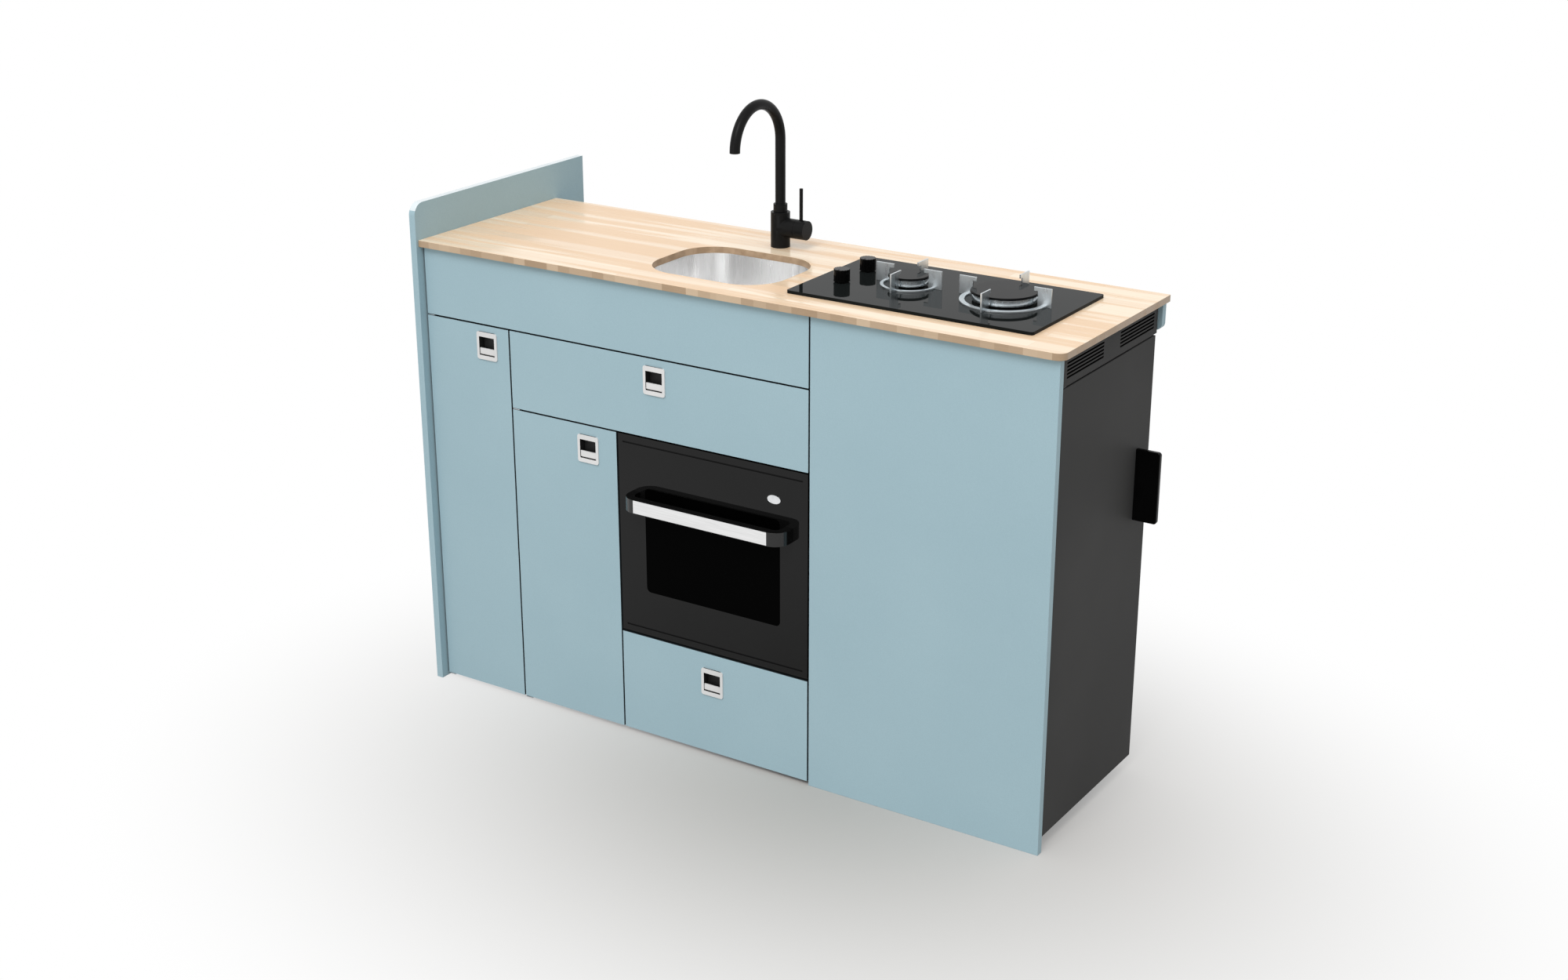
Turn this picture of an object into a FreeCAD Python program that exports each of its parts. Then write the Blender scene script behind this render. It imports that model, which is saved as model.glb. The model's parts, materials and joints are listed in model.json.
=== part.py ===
# Campervan kitchen pod: a run of cupboards, drawers, oven and fridge under one worktop.
# Bench frame while drawing: X to the right from the left end panel's inner face,
# Y to the back from the door faces, Z up from the floor. Units are millimetres.
import FreeCAD
import Part
import math
import os

V = FreeCAD.Vector
ALONG_X = V(1, 0, 0)
ALONG_Y = V(0, 1, 0)
ALONG_Z = V(0, 0, 1)

# Overall sizes
worktop_height = 950.0
worktop_length = 1405.0
worktop_thickness = 13.0
worktop_overhang = 12.0
worktop_back = 424.0
worktop_corner_radius = 18.0
board = 15.0
front_board = 15.0
seam = 3.2
front_clearance = 5.0
toe_gap = 8.0
overrun = 5.0

# Left end panel
end_panel_overhang = 18.0
end_panel_back = 519.0
end_panel_height = 1024.0
end_panel_radius = 25.0

# Widths and heights of the fronts
tall_door_width = 206.0
middle_door_width = 254.0
block_width = 432.2
right_panel_width = 489.0
fascia_height = 137.8
wide_drawer_height = 158.0
lower_drawer_height = 211.0
oven_lower_gap = 5.2
oven_reveal = 1.4

# Carcass boards
back_board = 6.0
back_board_front = 403.0
rail_height = 65.0
rear_rail_length = 1398.0
rear_rail_height = 52.0
rear_rail_radius = 12.0
shelf_setback = 12.0
skid_height = 26.0
skid_width = 30.0
skid_inset = 25.0
floor_bolt_radius = 4.25
floor_bolt_spacing_x = 235.0
floor_bolt_spacing_y = 240.0
floor_bolt_left = 105.0
floor_bolt_front = 90.0
wall_bolt_radius = 3.5
wall_bolt_left = 150.0
wall_bolt_spacing = 1100.0

# Door pivots
pivot_setback = 9.0
pivot_pin_radius = 2.5
pivot_pin_length = 12.0
pivot_leaf = 1.8
pivot_leaf_half_width = 8.0
pivot_leaf_reach = 40.0
pivot_flange = 2.0
pivot_flange_height = 30.0
pivot_play = 0.05

# Drawers
runner_width = 13.0
runner_height = 36.0
runner_wall = 1.5
runner_play = 0.4
runner_drop = 10.0
runner_front_gap = 3.0
drawer_board = 12.0
drawer_bottom = 8.0
drawer_bottom_rise = 6.0
wide_box_depth = 370.0
wide_box_height = 104.0
wide_box_rise = 17.0
lower_box_depth = 350.0
lower_box_height = 150.0
lower_box_rise = 18.0

# Push latches
latch_width = 50.0
latch_height = 56.7
latch_radius = 5.0
latch_proud = 2.5
latch_window = 38.0
latch_window_drop = 10.0
latch_wall = 2.0
latch_fit = 0.2
paddle_height = 12.0
paddle_thickness = 2.5
paddle_play = 0.5
paddle_barrel_radius = 2.2
paddle_pin_radius = 1.5
paddle_pin_play = 0.05
paddle_axis_depth = 2.5
paddle_axis_rise = 2.5
bolt_width = 10.0
bolt_thickness = 3.0
bolt_short = 2.0
tall_latch_left = 151.8
tall_latch_drop = 41.0
wide_latch_left = 348.0
wide_latch_drop = 42.6
middle_latch_left = 186.3
middle_latch_drop = 47.9
lower_latch_left = 215.0
lower_latch_drop = 59.3

# Sink
sink_x = 624.5
sink_y = 165.8
sink_width = 283.0
sink_depth = 223.0
sink_radius = 77.5
sink_bowl_depth = 125.0
sink_wall = 2.0
sink_flange = 15.0
sink_floor_radius = 28.0
waste_radius = 26.0
waste_flange_radius = 34.0
waste_flange_thickness = 2.0
waste_dish = 5.0
waste_nut_radius = 32.0
waste_nut_height = 9.0
waste_tail_radius = 20.0
waste_tail_length = 36.0

# Tap
tap_x = 625.0
tap_y = 336.0
tap_body_radius = 19.0
tap_body_height = 69.5
tap_collar_radius = 13.7
tap_collar_height = 15.5
tap_tube_radius = 10.0
tap_bore_radius = 7.6
tap_bore_depth = 12.0
tap_bend_radius = 78.0
tap_bend_height = 210.6
tap_arm_rise = 39.0
tap_arm_radius = 18.8
tap_arm_length = 38.2
tap_cap_radius = 18.8
tap_cap_length = 23.1
tap_cap_gap = 0.4
tap_cap_bore_radius = 9.0
tap_spigot_length = 4.0
tap_spigot_play = 0.06
tap_lever_radius = 3.5
tap_lever_height = 81.0
tap_lever_offset = 9.0
tap_lever_slot = 4.2
tap_lever_slot_length = 13.0
tap_knuckle_radius = 3.9
tap_knuckle_length = 7.7
tap_pivot_rise = 6.0
tap_pivot_radius = 2.0
tap_pivot_length = 18.0
tap_pivot_play = 0.05
tap_swivel_gap = 0.3
tap_swivel_pin_radius = 8.0
tap_swivel_pin_length = 14.0
tap_swivel_play = 0.05
tap_shank_radius = 15.0
tap_shank_length = 45.0
tap_shank_hole_gap = 1.5
tap_nut_radius = 24.0
tap_nut_height = 12.0

# Hob
hob_x = 1065.0
hob_y = 199.5
hob_width = 496.0
hob_depth = 285.0
hob_glass_thickness = 6.0
hob_glass_radius = 6.0
hob_tray_inset = 18.0
hob_tray_depth = 50.0
hob_tray_wall = 2.0
hob_cutout_gap = 1.5
hob_partition_gap = 6.0
knob_x = 873.6
knob_front_y = 158.0
knob_rear_y = 250.6
knob_radius = 15.0
knob_height = 22.6
knob_skirt_radius = 15.4
knob_skirt_height = 3.0
knob_gap = 2.4
knob_pointer_depth = 2.0
knob_pointer_width = 1.8
knob_grip_count = 16
knob_grip_radius = 1.0
spindle_radius = 4.0
spindle_engagement = 12.0
spindle_play = 0.05
spindle_tail = 10.0
spindle_push = 2.0
valve_width = 26.0
valve_height = 22.0
gas_pipe_radius = 6.0
small_burner_x = 987.0
small_burner_y = 206.8
large_burner_x = 1182.5
large_burner_y = 206.5
small_cap_radius = 38.8
large_cap_radius = 62.3
crown_inset = 3.5
crown_height = 16.8
crown_throat_radius = 14.0
crown_throat_depth = 25.0
crown_throat_gap = 1.0
cap_thickness = 3.8
cap_bevel = 2.0
small_ring_radius = 53.2
large_ring_radius = 81.4
small_ring_width = 6.2
large_ring_width = 9.5
ring_height = 3.0
blade_thickness = 3.0
blade_height = 34.8
blade_finger_height = 7.3
blade_leg_gap = 2.0
small_blade_reach = 68.0
small_blade_inner = 31.3
large_blade_reach = 91.5
large_blade_inner = 57.0

# Oven
oven_axis_rise = 9.8
oven_axis_depth = 7.5
oven_casing_gap = 4.0
oven_casing_back = 395.0
oven_wall = 22.0
oven_roof = 62.0
oven_groove_height = 3.0
oven_groove_depth = 1.2
oven_groove_margin = 11.0
oven_top_groove_drop = 14.0
oven_bottom_groove_rise = 12.5
oven_window_width = 309.0
oven_window_height = 216.0
oven_window_rise = 93.0
oven_window_radius = 10.0
oven_glass = 4.0
oven_glass_rebate = 10.0
oven_glass_fit = 0.2
oven_handle_width = 366.0
oven_handle_reach = 43.0
oven_handle_height = 27.4
oven_handle_rise = 271.4
oven_handle_radius = 30.0
oven_handle_bar = 17.0
oven_strip_length = 304.0
oven_strip_thickness = 1.5
oven_strip_margin = 0.5
oven_lug_inset = 40.0
oven_lug_thickness = 6.0
oven_lug_radius = 5.0
oven_lug_play = 0.6
oven_pin_radius = 2.5
oven_pin_length = 34.0
oven_pin_play = 0.05
rack_rod_radius = 3.0
rack_wire_radius = 1.6
rack_wire_count = 13
rack_rise = 110.0
rack_margin = 20.0
burner_tube_radius = 9.0
burner_tube_rise = 15.0

# Fridge
fridge_left_gap = 3.0
fridge_back = 400.0
fridge_cabinet_right = 1341.7
fridge_height = 854.0
fridge_wall = 35.0
fridge_machine_room = 118.0
fridge_door_front = 20.0
fridge_door_thickness = 41.0
fridge_door_rise = 2.6
fridge_door_top_gap = 2.6
fridge_seal = 8.0
fridge_seal_gap = 0.3
fridge_seal_inset = 18.0
fridge_seal_width = 13.0
fridge_axis_inset = 11.0
fridge_axis_depth = 12.0
fridge_leaf = 1.6
fridge_leaf_half_width = 8.0
fridge_pin_radius = 3.0
fridge_pin_length = 14.0
fridge_pin_play = 0.05
fridge_handle_y = 347.0
fridge_handle_thickness = 9.0
fridge_handle_reach = 48.0
fridge_handle_bottom = 537.5
fridge_handle_height = 139.0
fridge_handle_radius = 6.0
fridge_shelf = 6.0
fridge_shelf_depth = 240.0
fridge_shelf_shares = (0.32, 0.62)
evaporator_thickness = 12.0
evaporator_width = 220.0
evaporator_height = 180.0
evaporator_drop = 25.0
compressor_radius = 48.0
compressor_height = 120.0
grille_depth = 15.0
grille_front = 19.0
grille_back = 405.0
grille_gap = 0.5
louvre_count = 5
louvre_height = 3.2
louvre_pitch = 6.4
louvre_width = 144.0
louvre_front_inset = 15.0
louvre_rise = 13.0

# Places that follow from the sizes above
worktop_under = worktop_height - worktop_thickness
carcass_front = front_board + front_clearance
tall_left = seam
tall_right = tall_left + tall_door_width
middle_left = tall_right + seam
middle_right = middle_left + middle_door_width
block_left = middle_right + seam
fronts_right = block_left + block_width
panel_left = fronts_right + seam
panel_right = panel_left + right_panel_width
fascia_bottom = worktop_under - fascia_height
wide_top = fascia_bottom - seam
wide_bottom = wide_top - wide_drawer_height
middle_top = wide_bottom - seam
lower_top = toe_gap + lower_drawer_height
oven_bottom = lower_top + oven_lower_gap
oven_left = block_left + oven_reveal
oven_centre = (oven_left + fronts_right) / 2
left_wall_x = (tall_right + middle_left - board) / 2
oven_wall_x = (middle_right + block_left - board) / 2
fridge_wall_x = panel_left
tall_latch_x = tall_left + tall_latch_left
tall_latch_z = wide_top - tall_latch_drop
wide_latch_x = middle_left + wide_latch_left
wide_latch_z = wide_top - wide_latch_drop
middle_latch_x = middle_left + middle_latch_left
middle_latch_z = middle_top - middle_latch_drop
lower_latch_x = block_left + lower_latch_left
lower_latch_z = lower_top - lower_latch_drop
deck_top = wide_bottom + front_clearance
deck_bottom = deck_top - board
oven_axis_z = oven_bottom + oven_axis_rise
casing_left = oven_wall_x + board + oven_casing_gap
casing_right = fridge_wall_x - oven_casing_gap
casing_top = deck_bottom - oven_casing_gap
hob_left = hob_x - hob_width / 2
hob_right = hob_x + hob_width / 2
hob_front = hob_y - hob_depth / 2
hob_back = hob_y + hob_depth / 2
hob_top = worktop_height + hob_glass_thickness
tray_bottom = worktop_height - hob_tray_depth
fridge_left = fridge_wall_x + board + fridge_left_gap
fridge_front = front_board
fridge_top = skid_height + fridge_height
fridge_door_left = fridge_cabinet_right + fridge_seal
fridge_door_right = fridge_door_left + fridge_door_thickness
fridge_door_bottom = skid_height + fridge_door_rise
fridge_door_top = fridge_top - fridge_door_top_gap
fridge_axis_x = fridge_door_right - fridge_axis_inset
fridge_axis_y = fridge_door_front + fridge_axis_depth
fridge_inner_left = fridge_left + fridge_machine_room + fridge_wall
pivot_y = front_board / 2
tap_arm_z = worktop_height + tap_arm_rise
tap_cap_x = tap_x + tap_arm_length + tap_cap_gap

# The origin lies on the floor, under the middle of the whole object
origin_x = (fridge_door_right + fridge_handle_reach - board) / 2
origin_y = (end_panel_back - oven_handle_reach) / 2
TO_ORIGIN = V(-origin_x, -origin_y, 0)


def block(x0, x1, y0, y1, z0, z1):
    """A plain board between two corners."""
    return Part.makeBox(x1 - x0, y1 - y0, z1 - z0, V(x0, y0, z0))


def rod(radius, length, start, axis):
    """A round bar from a point along an axis."""
    return Part.makeCylinder(radius, length, start, axis)


def rounded(width, height, radius, thickness):
    """A plate with round corners, centred on the origin in XY and rising along Z."""
    x = width / 2
    y = height / 2
    corner = radius * (1 - math.sqrt(1 / 2))
    edges = []
    for sx, sy in ((1, 1), (-1, 1), (-1, -1), (1, -1)):
        side = V(sx * x, sy * (y - radius), 0)
        end = V(sx * (x - radius), sy * y, 0)
        middle = V(sx * (x - corner), sy * (y - corner), 0)
        first, last = (side, end) if sx * sy > 0 else (end, side)
        if edges:
            edges.append(Part.makeLine(edges[-1].lastVertex().Point, first))
        edges.append(Part.Arc(first, middle, last).toShape())
    edges.append(Part.makeLine(edges[-1].lastVertex().Point, edges[0].firstVertex().Point))
    return Part.Face(Part.Wire(edges)).extrude(ALONG_Z * thickness)


def flat_plate(x, y, z, width, depth, radius, thickness):
    """A round-cornered plate lying flat, centred on x and y, with its underside at z."""
    plate = rounded(width, depth, radius, thickness)
    plate.translate(V(x, y, z))
    return plate


def front_plate(x, z, y, width, height, radius, thickness):
    """A round-cornered plate standing in the front plane, from y towards the back."""
    plate = rounded(width, height, radius, thickness)
    plate.rotate(V(0, 0, 0), ALONG_X, 90)
    plate.translate(V(x, y + thickness, z))
    return plate


def fuse(first, *others):
    """One solid from touching or overlapping pieces, with flush faces joined."""
    return first.fuse(list(others)).removeSplitter()


def save(name, *solids):
    """Write one node, moved to the object's own origin."""
    shape = solids[0] if len(solids) == 1 else Part.makeCompound(solids)
    shape = shape.copy()
    shape.translate(TO_ORIGIN)
    for solid in shape.Solids:
        if not solid.isValid() or solid.Volume <= 0:
            raise ValueError("bad solid in " + name)
    shape.exportStep("parts/" + name + ".step")
    print(name, len(shape.Solids), round(shape.Volume))


def end_panel():
    """The tall left side, with a round top front corner."""
    panel = block(-board, 0, -end_panel_overhang, end_panel_back, 0, end_panel_height)
    return round_edges(panel, end_panel_radius, ALONG_X, V(0, -end_panel_overhang, end_panel_height))


def round_edges(shape, radius, axis, through):
    """Round the straight edges along an axis whose line passes through a point."""
    chosen = []
    for edge in shape.Edges:
        start = edge.firstVertex().Point
        run = edge.lastVertex().Point - start
        offset = start - through
        aligned = run.cross(axis).Length < run.Length / 1000
        if aligned and offset.cross(axis).Length < radius / 1000:
            chosen.append(edge)
    return shape.makeFillet(radius, chosen)


def worktop():
    """The laminated top, cut for the sink, the tap and the hob."""
    top = block(0, worktop_length, -worktop_overhang, worktop_back, worktop_under, worktop_height)
    top = round_edges(top, worktop_corner_radius, ALONG_Z, V(worktop_length, -worktop_overhang, 0))
    cut_bottom = worktop_under - overrun
    cut_height = worktop_thickness + 2 * overrun
    sink = flat_plate(sink_x, sink_y, cut_bottom, sink_width, sink_depth, sink_radius, cut_height)
    tap = rod(tap_shank_radius + tap_shank_hole_gap, cut_height, V(tap_x, tap_y, cut_bottom), ALONG_Z)
    inset = hob_tray_inset - hob_cutout_gap
    cut_top = worktop_height + overrun
    hob = block(hob_left + inset, hob_right - inset, hob_front + inset, hob_back - inset, cut_bottom, cut_top)
    return top.cut([sink, tap, hob])


def carcass():
    """The fixed boards that carry everything."""
    save("left_end_panel", end_panel())
    save("worktop", worktop())
    base = block(0, fridge_wall_x, carcass_front, back_board_front, 0, board)
    holes = []
    for column in range(2):
        for row in range(2):
            x = floor_bolt_left + column * floor_bolt_spacing_x
            y = floor_bolt_front + row * floor_bolt_spacing_y
            holes.append(rod(floor_bolt_radius, board + 2 * overrun, V(x, y, -overrun), ALONG_Z))
    floor_boards = [base.cut(holes)]
    for y in (fridge_front + skid_inset, fridge_back - skid_inset - skid_width):
        floor_boards.append(block(fridge_left, fridge_cabinet_right, y, y + skid_width, 0, skid_height))
    save("base_boards", *floor_boards)
    rail_back = front_board + board
    rail_bottom = worktop_under - rail_height
    notch = block(-overrun, panel_right, 0, rail_back, rail_bottom, worktop_height)
    left_wall = block(left_wall_x, left_wall_x + board, carcass_front, back_board_front, board, worktop_under)
    save("left_partition", left_wall.cut(notch))
    save(
        "oven_partition",
        block(oven_wall_x, oven_wall_x + board, carcass_front, back_board_front, board, deck_bottom),
    )
    gap = hob_tray_inset - hob_partition_gap
    tray_room = block(
        fridge_wall_x - overrun,
        fridge_wall_x + board + overrun,
        hob_front + gap,
        hob_back - gap,
        tray_bottom - hob_partition_gap,
        worktop_height,
    )
    right_wall = block(fridge_wall_x, fridge_wall_x + board, front_board, back_board_front, 0, worktop_under)
    save("fridge_partition", right_wall.cut(tray_room))
    deck_left = left_wall_x + board
    deck = block(deck_left, fridge_wall_x, carcass_front, back_board_front, deck_bottom, deck_top)
    shelf_left = oven_wall_x + board
    shelf_under = oven_bottom - board
    shelf = block(shelf_left, fridge_wall_x, carcass_front, back_board_front, shelf_under, oven_bottom)
    shelf_front = carcass_front + shelf_setback
    tall_shelf_z = (board + fascia_bottom) / 2
    middle_shelf_z = (board + deck_bottom) / 2
    save(
        "shelf_boards",
        deck,
        shelf,
        block(0, left_wall_x, shelf_front, back_board_front, tall_shelf_z, tall_shelf_z + board),
        block(deck_left, oven_wall_x, shelf_front, back_board_front, middle_shelf_z, middle_shelf_z + board),
    )
    rail_front = back_board_front + back_board
    back = block(0, fridge_wall_x + board, back_board_front, rail_front, 0, worktop_under)
    save("back_panel", back.cut(wall_bolt_holes()))
    save("front_rail", block(0, fridge_wall_x, front_board, rail_back, rail_bottom, worktop_under))
    save("top_fascia", block(tall_left, fronts_right, 0, front_board, fascia_bottom, worktop_under))
    save("right_front_panel", block(panel_left, panel_right, 0, front_board, 0, worktop_under))
    save("rear_rail", rear_rail(rail_front))


def rear_rail(front):
    """The blue rail under the worktop's back edge, drilled for the van wall."""
    bottom = worktop_under - rear_rail_height
    rail = block(0, rear_rail_length, front, worktop_back, bottom, worktop_under)
    rail = round_edges(rail, rear_rail_radius, ALONG_Y, V(rear_rail_length, 0, bottom))
    return rail.cut(wall_bolt_holes())


def wall_bolt_holes():
    """Two holes through the back panel and the rear rail for bolts into the van wall."""
    start = back_board_front - overrun
    length = worktop_back - start + overrun
    holes = []
    for place in range(2):
        at = V(wall_bolt_left + place * wall_bolt_spacing, start, worktop_under - rear_rail_height / 2)
        holes.append(rod(wall_bolt_radius, length, at, ALONG_Y))
    return holes


def latch_hole(x, z):
    """The square hole in a front that takes a latch housing."""
    size = latch_window / 2 + latch_wall + latch_fit
    centre = latch_window_z(z)
    return block(x - size, x + size, -overrun, front_board + overrun, centre - size, centre + size)


def latch_window_z(z):
    """Height of the middle of a latch window."""
    return z + latch_height / 2 - latch_window_drop - latch_window / 2


def paddle_axis_z(z):
    """Height of a latch paddle's pivot."""
    return latch_window_z(z) - latch_window / 2 + paddle_axis_rise


def latch(name, x, z, top):
    """A flush latch: bezel and housing, a bolt drawn back behind the front, and its paddle."""
    centre = latch_window_z(z)
    inner = latch_window / 2
    outer = inner + latch_wall
    bezel = front_plate(x, z, -latch_proud, latch_width, latch_height, latch_radius, latch_proud)
    housing = block(x - outer, x + outer, 0, front_board, centre - outer, centre + outer)
    hollow_back = front_board - latch_wall
    hollow = block(x - inner, x + inner, -latch_proud - overrun, hollow_back, centre - inner, centre + inner)
    axis_z = paddle_axis_z(z)
    pin_length = 2 * outer
    hole_start = V(x - outer, paddle_axis_depth, axis_z)
    hole = rod(paddle_pin_radius + paddle_pin_play, pin_length, hole_start, ALONG_X)
    body = fuse(bezel, housing).cut([hollow, hole])
    half = bolt_width / 2
    bolt = block(x - half, x + half, front_board, front_board + bolt_thickness, centre, top - bolt_short)
    save(name + "_latch", body, bolt)
    half = inner - paddle_play
    face = -latch_proud / 2
    plate = block(x - half, x + half, face, face + paddle_thickness, axis_z, axis_z + paddle_height)
    barrel = rod(paddle_barrel_radius, 2 * half, V(x - half, paddle_axis_depth, axis_z), ALONG_X)
    half_pin = inner + latch_wall / 2
    pin = rod(paddle_pin_radius, 2 * half_pin, V(x - half_pin, paddle_axis_depth, axis_z), ALONG_X)
    save(name + "_latch_paddle", fuse(plate, barrel, pin))


def pivot_bore(x, z, direction):
    """The blind bore in a door's edge for a pivot pin, entering along direction."""
    start = V(x, pivot_y, z) - direction * overrun
    return rod(pivot_pin_radius + pivot_play, pivot_pin_length + 2 * overrun, start, direction)


def swing_door(name, left, right, top, latch_x, latch_z):
    """A cupboard door on a pivot pin at each end of its left edge."""
    door = block(left, right, 0, front_board, toe_gap, top)
    x = left + pivot_setback
    bores = [pivot_bore(x, toe_gap, ALONG_Z), pivot_bore(x, top, -ALONG_Z)]
    save(name, door.cut(bores + [latch_hole(latch_x, latch_z)]))


def pivot_leaf_at(x, seat, z, pin_direction):
    """A pivot's leaf in the gap beside a door's edge, with its pin, back to the given seat."""
    gap = (seam - pivot_leaf) / 2
    low = z + gap if pin_direction.z < 0 else z - gap - pivot_leaf
    half = pivot_leaf_half_width
    leaf = block(x - half, x + half, pivot_y - half + gap, seat, low, low + pivot_leaf)
    foot = low + pivot_leaf / 2
    pin = rod(pivot_pin_radius, pivot_pin_length + gap, V(x, pivot_y, foot), pin_direction)
    return leaf.fuse(pin), low


def door_pivots():
    """Four pivots: leaves fixed to the end panel, the deck and the base board."""
    solids = []
    tall_x = tall_left + pivot_setback
    middle_x = middle_left + pivot_setback
    leaf, low = pivot_leaf_at(tall_x, carcass_front + pivot_leaf_reach, wide_top, -ALONG_Z)
    arm = block(0, tall_x, carcass_front, carcass_front + pivot_leaf_reach, low, low + pivot_leaf)
    flange = block(
        0, pivot_flange, carcass_front, carcass_front + pivot_leaf_reach, low, low + pivot_flange_height
    )
    solids.append(fuse(leaf, arm, flange))
    leaf, low = pivot_leaf_at(middle_x, carcass_front, middle_top, -ALONG_Z)
    flange = block(
        middle_x - pivot_leaf_half_width,
        middle_x + pivot_leaf_half_width,
        carcass_front - pivot_flange,
        carcass_front,
        low,
        deck_top,
    )
    solids.append(fuse(leaf, flange))
    for x in (tall_x, middle_x):
        leaf, low = pivot_leaf_at(x, carcass_front, toe_gap, ALONG_Z)
        flange = block(
            x - pivot_leaf_half_width,
            x + pivot_leaf_half_width,
            carcass_front - pivot_flange,
            carcass_front,
            seam,
            low + pivot_leaf,
        )
        solids.append(fuse(leaf, flange))
    return solids


def drawer(name, left, right, bottom, top, opening, box, latch_x, latch_z):
    """A drawer front, its box of boards, and the slides on the box's sides."""
    depth, height, rise = box
    inner_left, inner_right = opening
    front = block(left, right, 0, front_board, bottom, top)
    save(name + "_front", front.cut(latch_hole(latch_x, latch_z)))
    x0 = inner_left + runner_width
    x1 = inner_right - runner_width
    y0 = front_board
    y1 = front_board + depth
    z0 = bottom + rise
    z1 = z0 + height
    in_left = x0 + drawer_board
    in_right = x1 - drawer_board
    back = y1 - drawer_board
    floor = z0 + drawer_bottom_rise
    save(
        name + "_box",
        block(x0, in_left, y0, y1, z0, z1),
        block(in_right, x1, y0, y1, z0, z1),
        block(in_left, in_right, back, y1, z0, z1),
        block(in_left, in_right, y0, back, floor, floor + drawer_bottom),
    )
    runner_z = z1 - runner_drop - runner_height
    slides = []
    rails = []
    start = carcass_front + runner_front_gap
    for wall, box_side, away in ((inner_left, x0, 1), (inner_right, x1, -1)):
        rails.append(runner_rail(wall, away, start, y1, runner_z))
        slides.append(runner_slide(wall, box_side, away, start, y1, runner_z))
    save(name + "_slides", *slides)
    return rails


def between(a, b, y0, y1, z0, z1):
    """A block whose two X limits may come in either order."""
    return block(min(a, b), max(a, b), y0, y1, z0, z1)


def runner_rail(wall, away, y0, y1, z):
    """A channel screwed to a carcass wall, open towards the drawer."""
    reach = runner_width - runner_wall - runner_play
    channel = between(wall, wall + away * reach, y0, y1, z, z + runner_height)
    hollow_start = wall + away * runner_wall
    hollow_end = wall + away * (reach + overrun)
    z0 = z + runner_wall
    z1 = z + runner_height - runner_wall
    hollow = between(hollow_start, hollow_end, y0 - overrun, y1 + overrun, z0, z1)
    return channel.cut(hollow)


def runner_slide(wall, box_side, away, y0, y1, z):
    """The bar on a drawer's side that runs in the channel."""
    start = wall + away * (runner_wall + runner_play)
    margin = runner_wall + runner_play
    return between(start, box_side, y0, y1, z + margin, z + runner_height - margin)


def fronts():
    """Doors, drawers, pivots, runners and latches."""
    swing_door("tall_door", tall_left, tall_right, wide_top, tall_latch_x, tall_latch_z)
    swing_door("middle_door", middle_left, middle_right, middle_top, middle_latch_x, middle_latch_z)
    wide_opening = (left_wall_x + board, fridge_wall_x)
    lower_opening = (oven_wall_x + board, fridge_wall_x)
    wide_box = (wide_box_depth, wide_box_height, wide_box_rise)
    lower_box = (lower_box_depth, lower_box_height, lower_box_rise)
    rails = drawer(
        "wide_drawer", middle_left, fronts_right, wide_bottom, wide_top, wide_opening, wide_box, wide_latch_x,
        wide_latch_z,
    )
    rails += drawer(
        "lower_drawer", block_left, fronts_right, toe_gap, lower_top, lower_opening, lower_box, lower_latch_x,
        lower_latch_z,
    )
    save("drawer_rails", *rails)
    latch("tall_door", tall_latch_x, tall_latch_z, wide_top)
    latch("middle_door", middle_latch_x, middle_latch_z, middle_top)
    latch("wide_drawer", wide_latch_x, wide_latch_z, wide_top)
    latch("lower_drawer", lower_latch_x, lower_latch_z, lower_top)


def sink():
    """The undermount bowl and its waste."""
    wide = sink_width + 2 * sink_wall
    deep = sink_depth + 2 * sink_wall
    radius = sink_radius + sink_wall
    floor = worktop_under - sink_bowl_depth
    outer = flat_plate(sink_x, sink_y, floor - sink_wall, wide, deep, radius, sink_bowl_depth + sink_wall)
    outer = round_floor(outer, floor - sink_wall, sink_floor_radius + sink_wall)
    lip = sink_radius + sink_flange
    flange = flat_plate(
        sink_x, sink_y, worktop_under - sink_wall, sink_width + 2 * sink_flange, sink_depth + 2 * sink_flange,
        lip, sink_wall,
    )
    inner = flat_plate(sink_x, sink_y, floor, sink_width, sink_depth, sink_radius, sink_bowl_depth + overrun)
    inner = round_floor(inner, floor, sink_floor_radius)
    hole = rod(waste_radius, sink_wall + 2 * overrun, V(sink_x, sink_y, floor - sink_wall - overrun), ALONG_Z)
    save("sink_bowl", fuse(outer, flange).cut([inner, hole]))
    under = floor - sink_wall
    flange = rod(waste_flange_radius, waste_flange_thickness, V(sink_x, sink_y, floor), ALONG_Z)
    nut = rod(waste_nut_radius, waste_nut_height, V(sink_x, sink_y, under - waste_nut_height), ALONG_Z)
    neck = rod(waste_radius, sink_wall, V(sink_x, sink_y, under), ALONG_Z)
    tail = rod(waste_tail_radius, waste_tail_length, V(sink_x, sink_y, under - waste_tail_length), ALONG_Z)
    dish_floor = floor + waste_flange_thickness - waste_dish
    dish = rod(waste_tail_radius, waste_dish + overrun, V(sink_x, sink_y, dish_floor), ALONG_Z)
    save("sink_waste", fuse(flange, neck, nut, tail).cut(dish))


def round_floor(shape, z, radius):
    """Round the lowest edges of a bowl."""
    low = [edge for edge in shape.Edges if abs(edge.BoundBox.ZMax - z) < radius / 1000]
    return shape.makeFillet(radius, low)


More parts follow.
